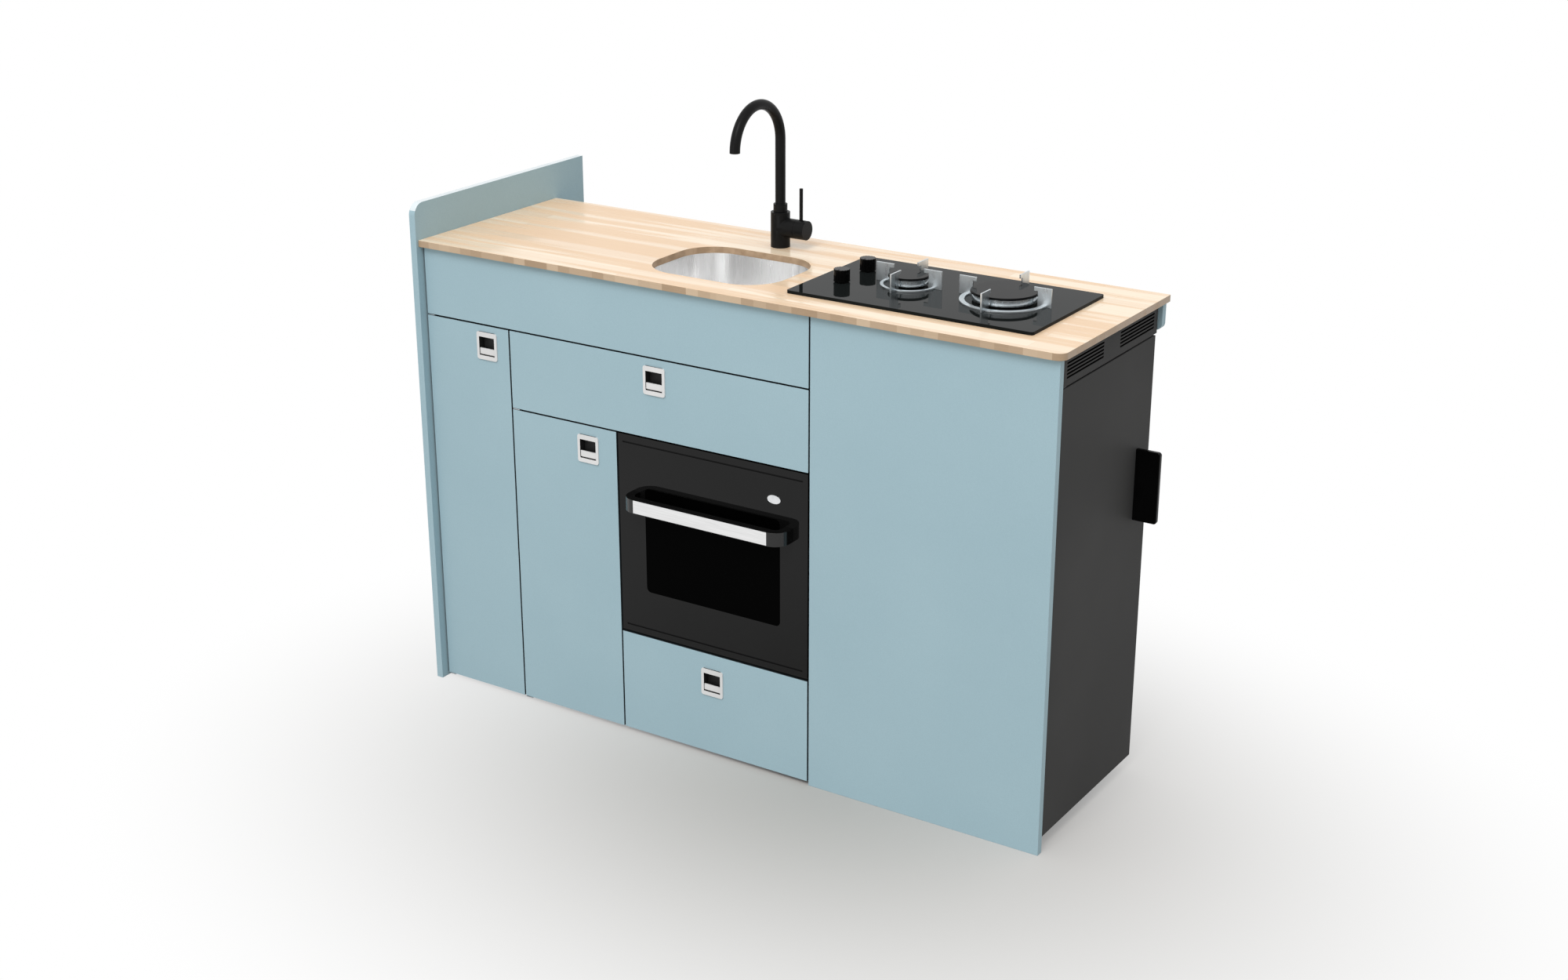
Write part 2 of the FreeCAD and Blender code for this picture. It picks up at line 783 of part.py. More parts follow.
def tap():
    """A side-lever mixer tap with a swan neck that swivels."""
    body_top = worktop_height + tap_body_height
    axis = V(tap_x, tap_y, 0)
    body = rod(tap_body_radius, tap_body_height, axis + ALONG_Z * worktop_height, ALONG_Z)
    shank_start = axis + ALONG_Z * (worktop_height - tap_shank_length)
    shank = rod(tap_shank_radius, tap_shank_length, shank_start, ALONG_Z)
    arm = rod(tap_arm_radius, tap_arm_length, V(tap_x, tap_y, tap_arm_z), ALONG_X)
    spigot_radius = tap_cap_bore_radius - tap_spigot_play
    spigot_start = V(tap_x, tap_y, tap_arm_z)
    spigot = rod(spigot_radius, tap_arm_length + tap_cap_gap + tap_spigot_length, spigot_start, ALONG_X)
    socket_depth = tap_swivel_pin_length + tap_swivel_gap
    socket_start = axis + ALONG_Z * (body_top - socket_depth)
    socket = rod(tap_swivel_pin_radius + tap_swivel_play, socket_depth + overrun, socket_start, ALONG_Z)
    save("tap_body", fuse(body, shank, arm, spigot).cut(socket))
    nut_start = axis + ALONG_Z * (worktop_under - tap_nut_height)
    nut = rod(tap_nut_radius, tap_nut_height, nut_start, ALONG_Z)
    save("tap_nut", nut.cut(rod(tap_shank_radius, tap_shank_length, shank_start, ALONG_Z)))
    save("tap_spout", tap_spout(body_top))
    tap_handle()


def tap_spout(body_top):
    """The swan neck: a straight rise and a half circle that ends over the bowl."""
    foot = body_top + tap_swivel_gap
    bend_z = worktop_height + tap_bend_height
    start = V(tap_x, tap_y, foot)
    turn = V(tap_x, tap_y, bend_z)
    top = V(tap_x, tap_y - tap_bend_radius, bend_z + tap_bend_radius)
    tip = V(tap_x, tap_y - 2 * tap_bend_radius, bend_z)
    riser = rod(tap_tube_radius, bend_z - foot, start, ALONG_Z)
    path = Part.Wire([Part.Arc(turn, top, tip).toShape()])
    ring = Part.Wire([Part.makeCircle(tap_tube_radius, turn, ALONG_Z)])
    bend = path.makePipeShell([ring], True, True)
    collar = rod(tap_collar_radius, tap_collar_height, start, ALONG_Z)
    pin_start = start - ALONG_Z * tap_swivel_pin_length
    pin = rod(tap_swivel_pin_radius, tap_swivel_pin_length, pin_start, ALONG_Z)
    bore = rod(tap_bore_radius, tap_bore_depth + overrun, tip - ALONG_Z * overrun, ALONG_Z)
    return riser.fuse([bend, collar, pin]).cut(bore)


def tap_handle():
    """The turning cap on the tap's arm, and the lever that tips in its slot."""
    cap = rod(tap_cap_radius, tap_cap_length, V(tap_cap_x, tap_y, tap_arm_z), ALONG_X)
    bore = rod(tap_cap_bore_radius, tap_spigot_length + tap_cap_gap, V(tap_cap_x, tap_y, tap_arm_z), ALONG_X)
    lever_x = tap_cap_x + tap_lever_offset
    pivot_z = tap_arm_z + tap_pivot_rise
    half = tap_lever_slot
    start = lever_x - half
    end = start + tap_lever_slot_length
    slot_top = tap_arm_z + tap_cap_radius + overrun
    slot = block(start, end, tap_y - half, tap_y + half, pivot_z - half, slot_top)
    pin_start = V(lever_x, tap_y - tap_pivot_length / 2, pivot_z)
    pin_hole = rod(tap_pivot_radius + tap_pivot_play, tap_pivot_length, pin_start, ALONG_Y)
    save("tap_cap", cap.cut([bore, slot, pin_hole]))
    lever = rod(tap_lever_radius, tap_lever_height - tap_pivot_rise, V(lever_x, tap_y, pivot_z), ALONG_Z)
    knuckle_start = V(lever_x, tap_y - tap_knuckle_length / 2, pivot_z)
    knuckle = rod(tap_knuckle_radius, tap_knuckle_length, knuckle_start, ALONG_Y)
    pin_length = tap_pivot_length - 2 * tap_pivot_play
    pin = rod(tap_pivot_radius, pin_length, pin_start + ALONG_Y * tap_pivot_play, ALONG_Y)
    save("tap_lever", fuse(lever, knuckle, pin))


def hob():
    """The glass two-burner hob let into the worktop."""
    thick = hob_glass_thickness
    glass = flat_plate(hob_x, hob_y, worktop_height, hob_width, hob_depth, hob_glass_radius, thick)
    small_support = (small_ring_radius, small_ring_width, small_blade_inner, small_blade_reach)
    large_support = (large_ring_radius, large_ring_width, large_blade_inner, large_blade_reach)
    burners = (
        (small_burner_x, small_burner_y, small_cap_radius, small_support),
        (large_burner_x, large_burner_y, large_cap_radius, large_support),
    )
    through = thick + 2 * overrun
    holes = []
    for x, y, cap, support in burners:
        at = V(x, y, worktop_height - overrun)
        holes.append(rod(crown_throat_radius + crown_throat_gap, through, at, ALONG_Z))
    for y in (knob_front_y, knob_rear_y):
        at = V(knob_x, y, worktop_height - overrun)
        holes.append(rod(spindle_radius + crown_throat_gap, through, at, ALONG_Z))
    save("hob_glass", glass.cut(holes))
    save("hob_tray", hob_tray())
    hob_knob("hob_knob_front", "hob_spindle_front", knob_front_y)
    hob_knob("hob_knob_rear", "hob_spindle_rear", knob_rear_y)
    save("burner_crowns", *[burner_crown(x, y, cap) for x, y, cap, support in burners])
    save("burner_caps", *[burner_cap(x, y, cap) for x, y, cap, support in burners])
    save("pan_supports", *[pan_support(x, y, cap, *support) for x, y, cap, support in burners])


def hob_tray():
    """The sheet tray under the glass that carries valves and burners."""
    x0 = hob_left + hob_tray_inset
    x1 = hob_right - hob_tray_inset
    y0 = hob_front + hob_tray_inset
    y1 = hob_back - hob_tray_inset
    wall = hob_tray_wall
    tray = block(x0, x1, y0, y1, tray_bottom, worktop_height)
    floor = tray_bottom + wall
    hollow = block(x0 + wall, x1 - wall, y0 + wall, y1 - wall, floor, worktop_height + overrun)
    return tray.cut(hollow)


def gas_valves():
    """Two valve bodies on a gas rail in the tray."""
    half = valve_width / 2
    floor = tray_bottom + hob_tray_wall
    solids = []
    for y in (knob_front_y, knob_rear_y):
        valve = block(knob_x - half, knob_x + half, y - half, y + half, floor, floor + valve_height)
        room = spindle_radius + spindle_play
        at = V(knob_x, y, floor + valve_height - spindle_tail)
        solids.append(valve.cut(rod(room, spindle_tail + overrun, at, ALONG_Z)))
    pipe_start = V(knob_x, knob_front_y + half, floor + gas_pipe_radius)
    pipe = rod(gas_pipe_radius, knob_rear_y - knob_front_y - valve_width, pipe_start, ALONG_Y)
    return solids + [pipe]


def hob_knob(knob_name, spindle_name, y):
    """A ribbed knob on a spindle that is pushed in and turned."""
    valve_top = tray_bottom + hob_tray_wall + valve_height
    foot = hob_top + knob_gap
    skirt = rod(knob_skirt_radius, knob_skirt_height, V(knob_x, y, foot), ALONG_Z)
    grip = rod(knob_radius, knob_height, V(knob_x, y, foot), ALONG_Z)
    ribs = []
    for index in range(knob_grip_count):
        angle = math.pi * (2 * index + 1) / knob_grip_count
        place = V(math.cos(angle), math.sin(angle), 0) * knob_radius
        start = V(knob_x, y, foot + knob_skirt_height) + place
        ribs.append(rod(knob_grip_radius, knob_height, start, ALONG_Z))
    bore = rod(spindle_radius + spindle_play, spindle_engagement, V(knob_x, y, foot), ALONG_Z)
    half = knob_pointer_width / 2
    pointer = block(
        knob_x - half, knob_x + half, y - knob_radius - overrun, y - knob_radius / 2,
        foot + knob_height - knob_pointer_depth, foot + knob_height + overrun,
    )
    save(knob_name, skirt.fuse(grip).removeSplitter().cut(ribs + [bore, pointer]))
    tail = valve_top - spindle_tail + spindle_push
    spindle = rod(spindle_radius, foot + spindle_engagement - tail, V(knob_x, y, tail), ALONG_Z)
    save(spindle_name, spindle)


def burner_crown(x, y, cap_radius):
    """The steel crown on the glass with its throat through it."""
    crown = rod(cap_radius - crown_inset, crown_height, V(x, y, hob_top), ALONG_Z)
    throat_start = V(x, y, hob_top - crown_throat_depth)
    return crown.fuse(rod(crown_throat_radius, crown_throat_depth, throat_start, ALONG_Z)).removeSplitter()


def burner_cap(x, y, radius):
    """The dark enamelled cap with a bevelled rim."""
    cap = rod(radius, cap_thickness, V(x, y, hob_top + crown_height), ALONG_Z)
    top = hob_top + crown_height + cap_thickness
    rim = [edge for edge in cap.Edges if abs(edge.BoundBox.ZMin - top) < cap_bevel / 100]
    return cap.makeChamfer(cap_bevel, rim)


def pan_support(x, y, cap_radius, ring_radius, ring_width, inner, reach):
    """A ring on the glass with four upright plates that reach in over the cap."""
    ring = rod(ring_radius, ring_height, V(x, y, hob_top), ALONG_Z)
    ring = ring.cut(rod(ring_radius - ring_width, ring_height + overrun, V(x, y, hob_top), ALONG_Z))
    half = blade_thickness / 2
    top = hob_top + blade_height
    leg = block(x + cap_radius + blade_leg_gap, x + reach, y - half, y + half, hob_top, top)
    finger = block(x + inner, x + reach, y - half, y + half, top - blade_finger_height, top)
    blade = fuse(leg, finger)
    blades = []
    for quarter in range(4):
        turned = blade.copy()
        turned.rotate(V(x, y, 0), ALONG_Z, 90 * quarter)
        blades.append(turned)
    return ring.fuse(blades).removeSplitter()


def oven():
    """The oven: insulated casing, drop-down door, window, handle, rack and burner."""
    front = carcass_front
    floor = oven_bottom + oven_wall
    roof = casing_top - oven_roof
    inner_left = casing_left + oven_wall
    inner_right = casing_right - oven_wall
    inner_back = oven_casing_back - oven_wall
    save(
        "oven_casing",
        block(casing_left, casing_right, front, oven_casing_back, oven_bottom, floor),
        block(casing_left, casing_right, front, oven_casing_back, roof, casing_top),
        block(casing_left, inner_left, front, oven_casing_back, floor, roof),
        block(inner_right, casing_right, front, oven_casing_back, floor, roof),
        block(inner_left, inner_right, inner_back, oven_casing_back, floor, roof),
    )
    save("oven_rack", oven_rack(inner_left, inner_right, front, inner_back, floor + rack_rise))
    tube_start = V(inner_left, inner_back - 2 * burner_tube_radius, floor + burner_tube_rise)
    burner = rod(burner_tube_radius, inner_right - inner_left, tube_start, ALONG_X)
    save("gas_fittings", *gas_valves(), burner)
    oven_door()
    oven_handle()


def oven_rack(left, right, front, back, z):
    """A wire rack resting in the oven's side walls' runners."""
    y0 = front + rack_margin
    y1 = back - rack_margin
    rods = []
    for y in (y0, y1):
        rods.append(rod(rack_rod_radius, right - left, V(left, y, z), ALONG_X))
    pitch = (right - left) / (rack_wire_count + 1)
    for index in range(rack_wire_count):
        x = left + pitch * (index + 1)
        rods.append(rod(rack_wire_radius, y1 - y0, V(x, y0, z), ALONG_Y))
    return rods[0].fuse(rods[1:])


def oven_door():
    """The charcoal door plate and the dark glass let into it."""
    top = middle_top
    door = block(oven_left, fronts_right, 0, front_board, oven_bottom, top)
    groove_left = oven_left + oven_groove_margin
    groove_right = fronts_right - oven_groove_margin
    cuts = []
    for z in (oven_bottom + oven_bottom_groove_rise, top - oven_top_groove_drop - oven_groove_height):
        cuts.append(
            block(groove_left, groove_right, -overrun, oven_groove_depth, z, z + oven_groove_height)
        )
    window_z = oven_bottom + oven_window_rise + oven_window_height / 2
    cuts.append(
        front_plate(
            oven_centre, window_z, -overrun, oven_window_width, oven_window_height, oven_window_radius,
            oven_glass + overrun,
        )
    )
    wide = oven_window_width - 2 * oven_glass_rebate
    high = oven_window_height - 2 * oven_glass_rebate
    through = front_board + 2 * overrun
    cuts.append(front_plate(oven_centre, window_z, -overrun, wide, high, oven_window_radius, through))
    half = oven_lug_thickness / 2 + oven_lug_play
    reach = oven_lug_radius + oven_lug_play
    pocket_front = oven_axis_depth - reach
    pocket_back = front_board + overrun
    pocket_top = oven_axis_z + reach
    pin_half = oven_pin_length / 2
    for x in (oven_left + oven_lug_inset, fronts_right - oven_lug_inset):
        pocket = block(x - half, x + half, pocket_front, pocket_back, oven_bottom - overrun, pocket_top)
        cuts.append(pocket)
        at = V(x - pin_half - oven_lug_play, oven_axis_depth, oven_axis_z)
        cuts.append(rod(oven_pin_radius + oven_pin_play, oven_pin_length + 2 * oven_lug_play, at, ALONG_X))
    save("oven_door", door.cut(cuts))
    fit = 2 * oven_glass_fit
    glass = front_plate(
        oven_centre, window_z, oven_glass_fit, oven_window_width - fit, oven_window_height - fit,
        oven_window_radius - oven_glass_fit, oven_glass - oven_glass_fit,
    )
    save("oven_window", glass)


def oven_lug(x):
    """A hinge lug on the casing's front edge with the door's pin through it."""
    half = oven_lug_thickness / 2
    at = V(x - half, oven_axis_depth, oven_axis_z)
    eye = rod(oven_lug_radius, oven_lug_thickness, at, ALONG_X)
    arm = block(
        x - half, x + half, oven_axis_depth, carcass_front, oven_axis_z - oven_lug_radius,
        oven_axis_z + oven_lug_radius,
    )
    pin_start = V(x - oven_pin_length / 2, oven_axis_depth, oven_axis_z)
    pin = rod(oven_pin_radius, oven_pin_length, pin_start, ALONG_X)
    return fuse(eye, arm, pin)


def oven_handle():
    """The bow handle with a bright strip let into its front."""
    low = oven_bottom + oven_handle_rise
    half = oven_handle_width / 2
    outer = bow_plan(half, oven_handle_reach, oven_handle_radius)
    inner_radius = oven_handle_radius - oven_handle_bar
    inner = bow_plan(half - oven_handle_bar, oven_handle_reach - oven_handle_bar, inner_radius)
    bow = outer.extrude(ALONG_Z * oven_handle_height).cut(inner.extrude(ALONG_Z * oven_handle_height))
    bow.translate(V(oven_centre, 0, low))
    strip_half = oven_strip_length / 2
    strip = block(
        oven_centre - strip_half, oven_centre + strip_half, -oven_handle_reach,
        oven_strip_thickness - oven_handle_reach, low + oven_strip_margin,
        low + oven_handle_height - oven_strip_margin,
    )
    save("oven_handle", bow.cut(strip))
    save("oven_handle_strip", strip)


def bow_plan(half, reach, radius):
    """A plan face from the door plane out to reach, with its two front corners rounded."""
    corner = radius * (1 - math.sqrt(1 / 2))
    left_bend = Part.Arc(
        V(-half, radius - reach, 0), V(corner - half, corner - reach, 0), V(radius - half, -reach, 0)
    ).toShape()
    right_bend = Part.Arc(
        V(half - radius, -reach, 0), V(half - corner, corner - reach, 0), V(half, radius - reach, 0)
    ).toShape()
    wire = Part.Wire(
        [
            Part.makeLine(V(-half, 0, 0), V(-half, radius - reach, 0)),
            left_bend,
            Part.makeLine(V(radius - half, -reach, 0), V(half - radius, -reach, 0)),
            right_bend,
            Part.makeLine(V(half, radius - reach, 0), V(half, 0, 0)),
            Part.makeLine(V(half, 0, 0), V(-half, 0, 0)),
        ]
    )
    return Part.Face(wire)


def fridge():
    """The fridge that opens on the pod's right end."""
    x0 = fridge_left
    x1 = fridge_cabinet_right
    y0 = fridge_front
    y1 = fridge_back
    z0 = skid_height
    z1 = fridge_top
    wall = fridge_wall
    inner_back = x0 + fridge_machine_room
    save(
        "fridge_cabinet",
        block(x0, x1, y0, y1, z0, z0 + wall),
        block(x0, x1, y0, y1, z1 - wall, z1),
        block(x0, x1, y0, y0 + wall, z0 + wall, z1 - wall),
        block(x0, x1, y1 - wall, y1, z0 + wall, z1 - wall),
        block(inner_back, fridge_inner_left, y0 + wall, y1 - wall, z0 + wall, z1 - wall),
    )
    inner_front = y0 + wall
    inner_rear = y1 - wall
    inner_height = fridge_height - 2 * wall
    shelves = []
    for share in fridge_shelf_shares:
        z = z0 + wall + inner_height * share
        shelf_end = fridge_inner_left + fridge_shelf_depth
        shelves.append(block(fridge_inner_left, shelf_end, inner_front, inner_rear, z, z + fridge_shelf))
    save("fridge_shelves", *shelves)
    middle_y = (y0 + y1) / 2
    half = evaporator_width / 2
    plate_top = z1 - wall - evaporator_drop
    plate_end = fridge_inner_left + evaporator_thickness
    plate_bottom = plate_top - evaporator_height
    plate = block(fridge_inner_left, plate_end, middle_y - half, middle_y + half, plate_bottom, plate_top)
    save("fridge_cooling_unit", plate, compressor(x0 + fridge_machine_room / 2, middle_y, z0 + wall))
    fridge_door()
    save("fridge_vent_grille", vent_grille())


def compressor(x, y, z):
    """A domed can on the fridge's floor, in the room behind the cold box."""
    can = rod(compressor_radius, compressor_height, V(x, y, z), ALONG_Z)
    top = z + compressor_height
    rim = [edge for edge in can.Edges if abs(edge.BoundBox.ZMin - top) < compressor_radius / 1000]
    return can.makeFillet(compressor_radius / 2, rim)


def fridge_door():
    """The door slab, its soft seal and the fin that pulls it."""
    y0 = fridge_door_front
    y1 = fridge_back
    door = block(fridge_door_left, fridge_door_right, y0, y1, fridge_door_bottom, fridge_door_top)
    bores = []
    for z, way in ((fridge_door_bottom, 1), (fridge_door_top, -1)):
        start = V(fridge_axis_x, fridge_axis_y, z - way * overrun)
        length = fridge_pin_length + 2 * overrun
        bores.append(rod(fridge_pin_radius + fridge_pin_play, length, start, ALONG_Z * way))
    save("fridge_door", door.cut(bores))
    outer = seal_slab(fridge_seal_inset)
    save("fridge_door_seal", outer.cut(seal_slab(fridge_seal_inset + fridge_seal_width)))
    fin_half = fridge_handle_thickness / 2
    fin = block(
        fridge_door_right, fridge_door_right + fridge_handle_reach, fridge_handle_y - fin_half,
        fridge_handle_y + fin_half, fridge_handle_bottom, fridge_handle_bottom + fridge_handle_height,
    )
    tip = fridge_door_right + fridge_handle_reach
    for z in (fridge_handle_bottom, fridge_handle_bottom + fridge_handle_height):
        fin = round_edges(fin, fridge_handle_radius, ALONG_Y, V(tip, 0, z))
    save("fridge_handle", fin)


def seal_slab(inset):
    """A slab as thick as the door seal, drawn in from the door's edges."""
    left = fridge_cabinet_right + fridge_seal_gap
    y0 = fridge_door_front + inset
    y1 = fridge_back - inset
    return block(left, fridge_door_left, y0, y1, fridge_door_bottom + inset, fridge_door_top - inset)


def fridge_hinge(z, way):
    """A hinge leaf on the cabinet's front face with the door's pin on it."""
    gap = (fridge_door_rise - fridge_leaf) / 2
    low = z - gap - fridge_leaf if way > 0 else z + gap
    half = fridge_leaf_half_width
    leaf = block(
        fridge_cabinet_right, fridge_axis_x + half, fridge_axis_y - half, fridge_axis_y + half, low,
        low + fridge_leaf,
    )
    start = V(fridge_axis_x, fridge_axis_y, low + fridge_leaf / 2)
    return leaf.fuse(rod(fridge_pin_radius, fridge_pin_length, start, ALONG_Z * way))


def hinge_pivots():
    """Every fixed hinge leaf with its pin: cupboard doors, oven door and fridge door."""
    lugs = [oven_lug(oven_left + oven_lug_inset), oven_lug(fronts_right - oven_lug_inset)]
    leaves = [fridge_hinge(fridge_door_bottom, 1), fridge_hinge(fridge_door_top, -1)]
    save("hinge_pivots", *door_pivots(), *lugs, *leaves)


def vent_grille():
    """The dark panel over the fridge door with two groups of louvres."""
    bottom = fridge_top + grille_gap
    plate = block(
        fridge_door_right - grille_depth, fridge_door_right, grille_front, grille_back, bottom, worktop_under
    )
    slots = []
    for start in (grille_front + louvre_front_inset, grille_back - louvre_front_inset - louvre_width):
        for index in range(louvre_count):
            z = bottom + louvre_rise + index * louvre_pitch
            slots.append(
                block(
                    fridge_door_right - grille_depth - overrun, fridge_door_right + overrun, start,
                    start + louvre_width, z, z + louvre_height,
                )
            )
    return plate.cut(slots)


os.makedirs("parts", exist_ok=True)
carcass()
fronts()
sink()
tap()
hob()
oven()
fridge()
hinge_pivots()
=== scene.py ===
# %% [markdown]
# # A campervan kitchen pod
# The solid model of the pod is loaded first. It fixes where every board, hinge and
# knob is, in metres, with the floor at z = 0. All that follows gives these solids
# rounded edges, real finishes and the small details that a solid model leaves out.

# %% Load the solid model
import bpy
import json
import math
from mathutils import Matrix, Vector

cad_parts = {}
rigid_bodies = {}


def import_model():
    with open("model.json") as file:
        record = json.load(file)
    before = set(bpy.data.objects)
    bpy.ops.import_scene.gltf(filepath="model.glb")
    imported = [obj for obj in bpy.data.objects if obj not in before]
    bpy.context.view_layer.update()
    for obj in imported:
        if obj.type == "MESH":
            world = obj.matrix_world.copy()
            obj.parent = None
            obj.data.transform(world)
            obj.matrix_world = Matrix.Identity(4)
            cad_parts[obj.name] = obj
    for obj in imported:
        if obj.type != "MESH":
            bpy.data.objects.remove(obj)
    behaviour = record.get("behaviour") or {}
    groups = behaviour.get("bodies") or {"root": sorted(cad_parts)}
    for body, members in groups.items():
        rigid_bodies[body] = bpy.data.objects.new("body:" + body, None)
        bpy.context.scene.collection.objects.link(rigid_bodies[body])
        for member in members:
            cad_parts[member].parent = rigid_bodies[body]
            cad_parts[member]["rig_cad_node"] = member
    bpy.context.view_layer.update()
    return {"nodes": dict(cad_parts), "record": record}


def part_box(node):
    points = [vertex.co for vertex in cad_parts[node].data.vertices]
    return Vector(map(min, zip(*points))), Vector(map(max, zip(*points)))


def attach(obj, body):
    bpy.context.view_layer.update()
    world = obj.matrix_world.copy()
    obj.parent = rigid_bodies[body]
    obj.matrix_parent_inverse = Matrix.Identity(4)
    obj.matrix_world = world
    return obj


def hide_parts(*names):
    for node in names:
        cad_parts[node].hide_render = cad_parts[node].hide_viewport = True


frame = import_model()
nodes = frame["nodes"]
body_of = {node: body for body, members in frame["record"]["behaviour"]["bodies"].items() for node in members}
slot_of = {row["node"]: row["material_slot"] for row in frame["record"]["subparts"]}

# %% [markdown]
# ## Camera
# The photograph was taken with a normal 50 mm lens from the right, a little above
# the worktop. A camera could be aimed with a constraint, but plain numbers for its
# place and turn are easier to read and stay fixed.

# %% Camera
CAMERA_PLACE = (2.16185, -3.3780, 2.0107)
CAMERA_TILT = math.radians(69.242)
CAMERA_TURN = math.radians(32.804)
bpy.ops.object.select_all(action="DESELECT")
bpy.ops.object.camera_add(location=CAMERA_PLACE)
camera = bpy.context.active_object
camera.rotation_euler = (CAMERA_TILT, 0, CAMERA_TURN)
camera.data.lens = 50
camera.data.sensor_width = 36
bpy.context.scene.camera = camera
print("camera", camera.data.lens, "mm lens")

# %% [markdown]
# ## Helpers for finishes
# Colours are written as the hex codes that a paint program shows. Blender's sockets
# want linear light, so one function converts them. A second function adds a node,
# sets its options and links its inputs, which keeps every finish short. The others start
# a finish, turn a pattern's real size in millimetres into a texture scale, blend two
# colours, and end the finish with its surface.

# %% Helpers for finishes
def linear(code):
    """An sRGB hex colour as linear red, green, blue and alpha."""
    shares = [int(code[start:start + 2], 16) / 255 for start in (0, 2, 4)]
    return [c / 12.92 if c <= 0.04045 else ((c + 0.055) / 1.055) ** 2.4 for c in shares] + [1]


def add(tree, kind, inputs=None, **options):
    """Add one node. Each input is a value, or another node's output to link."""
    node = tree.nodes.new("ShaderNode" + kind)
    for name, value in options.items():
        setattr(node, name, value)
    for name, value in (inputs or {}).items():
        if isinstance(value, bpy.types.NodeSocket):
            tree.links.new(value, node.inputs[name])
        else:
            node.inputs[name].default_value = value
    return node.outputs


def new_finish(name):
    """An empty material, its node tree, and the point on the piece in metres."""
    material = bpy.data.materials.new(name)
    material.use_nodes = True
    material.node_tree.nodes.clear()
    print("finish:", name)
    return material, material.node_tree, add(material.node_tree, "TexCoord")["Object"]


def per(millimetres):
    """The texture scale at which one feature has this size."""
    return 1000 / millimetres


def blend(tree, share, first, second):
    """A colour between two, by a share from 0 to 1. Each is a hex code or a node's output."""
    # A mix node has sockets for every type of data: 6 and 7 are its colours, 2 is their result.
    first, second = (linear(c) if isinstance(c, str) else c for c in (first, second))
    return add(tree, "Mix", {0: share, 6: first, 7: second}, data_type="RGBA")[2]


def cover(tree, inputs):
    """The surface shader and the output, which end a finish."""
    shader = add(tree, "BsdfPrincipled", inputs)
    add(tree, "OutputMaterial", {"Surface": shader[0]})

# %% [markdown]
# ## Studio
# The photograph has a white background and a soft shadow on a pale floor. The world is white to the camera,
# to reflections and through glass, and dimmer as a light, so the colours come out as they are written. As a
# light it is a soft dome. The main lamp is large and stands high in front, which leaves a shade under the
# worktop's overhang and a shadow on the floor. The floor's grey pool around the pod is partly that shadow and
# partly painted shade. A low lamp far away lifts the fronts a little.

# %% Studio world and lamps
world = bpy.data.worlds.new("white studio")
bpy.context.scene.world = world
world.use_nodes = True
sky = world.node_tree
sky.nodes.clear()
ray = add(sky, "LightPath")
seen = add(sky, "Math", {0: ray["Is Camera Ray"], 1: ray["Is Glossy Ray"]}, operation="MAXIMUM")
seen = add(sky, "Math", {0: seen[0], 1: ray["Is Transmission Ray"]}, operation="MAXIMUM")
upward = add(sky, "SeparateXYZ", {0: add(sky, "TexCoord")["Generated"]})
dome = add(sky, "MapRange", {"Value": upward["Z"], "To Min": 0.6, "To Max": 0.76})
# With plain values a mix node goes from its socket 2 to its socket 3.
level = add(sky, "Mix", {0: seen[0], 2: dome[0], 3: 1.0})
glow = add(sky, "Background", {"Color": linear("FFFFFF"), "Strength": level[0]})
add(sky, "OutputWorld", {"Surface": glow[0]})


def lamp(name, place, aim, size, watts):
    """A soft rectangular lamp that points from its place to its aim."""
    bpy.ops.object.select_all(action="DESELECT")
    bpy.ops.object.light_add(type="AREA", location=place)
    light = bpy.context.active_object
    light.name = name
    light.rotation_euler = (Vector(aim) - Vector(place)).to_track_quat("-Z", "Y").to_euler()
    light.data.size = size
    light.data.energy = watts
    print(name, watts, "W")


lamp("high_front_lamp", place=(1.44, -6.72, 8.6), aim=(0, 0, 0.6), size=4.8, watts=530)
lamp("low_front_lamp", place=(-1.0, -7.0, 1.2), aim=(0, 0, 0.5), size=2.5, watts=42)
bpy.context.scene.view_settings.view_transform = "Standard"

# %% [markdown]
# ## Studio floor
# The floor is a plain grey diffuse sheet that takes the shadow. Away from the pod it fades to white for the
# camera and in mirrors, like a studio's paper roll, so no edge of it shows. The fade follows the distance
# from a point beside the pod, so the grey left near the pod is a pool of painted shade.

# %% Studio floor
FLOOR_SIZE = 14
PAINTED_POOL_SHIFT = (-0.2, 0.25, 0)
PAINTED_POOL_STRETCH = (0.8, 1, 1)
bpy.ops.object.select_all(action="DESELECT")
bpy.ops.mesh.primitive_plane_add(size=FLOOR_SIZE, location=(0, 0, 0))
floor = bpy.context.active_object
floor.name = "studio_floor"
floor_finish, tree, point = new_finish("white studio floor")
ray = add(tree, "LightPath")
seen = add(tree, "Math", {0: ray["Is Camera Ray"], 1: ray["Is Glossy Ray"]}, operation="MAXIMUM")
pool = add(tree, "Mapping", {"Vector": point, "Location": PAINTED_POOL_SHIFT, "Scale": PAINTED_POOL_STRETCH})
away = add(tree, "VectorMath", {0: pool[0]}, operation="LENGTH")
fade = add(
    tree, "MapRange", {"Value": away["Value"], "From Min": -0.1, "From Max": 1.25},
    interpolation_type="SMOOTHSTEP",
)
share = add(tree, "Math", {0: fade[0], 1: seen[0]}, operation="MULTIPLY")
# Near the pod this grey shows as a pool of painted shade; further out the white glow takes over.
paint = add(tree, "BsdfDiffuse", {"Color": linear("BBB9B5")})
glow = add(tree, "Emission", {"Color": linear("FFFFFF"), "Strength": 1.0})
both = add(tree, "MixShader", {0: share[0], 1: paint[0], 2: glow[0]})
add(tree, "OutputMaterial", {"Surface": both[0]})
floor.data.materials.append(floor_finish)
print("floor", tuple(floor.dimensions))

# %% [markdown]
# ## Blue laminate
# The doors and panels are furniture plywood with a pressed blue laminate. The press
# leaves a fine pebble in the surface, which breaks up highlights, and the colour drifts
# a little over a board. The pebble is really about 0.6 mm; it is drawn at 2.2 mm, because
# the finer one would not show.

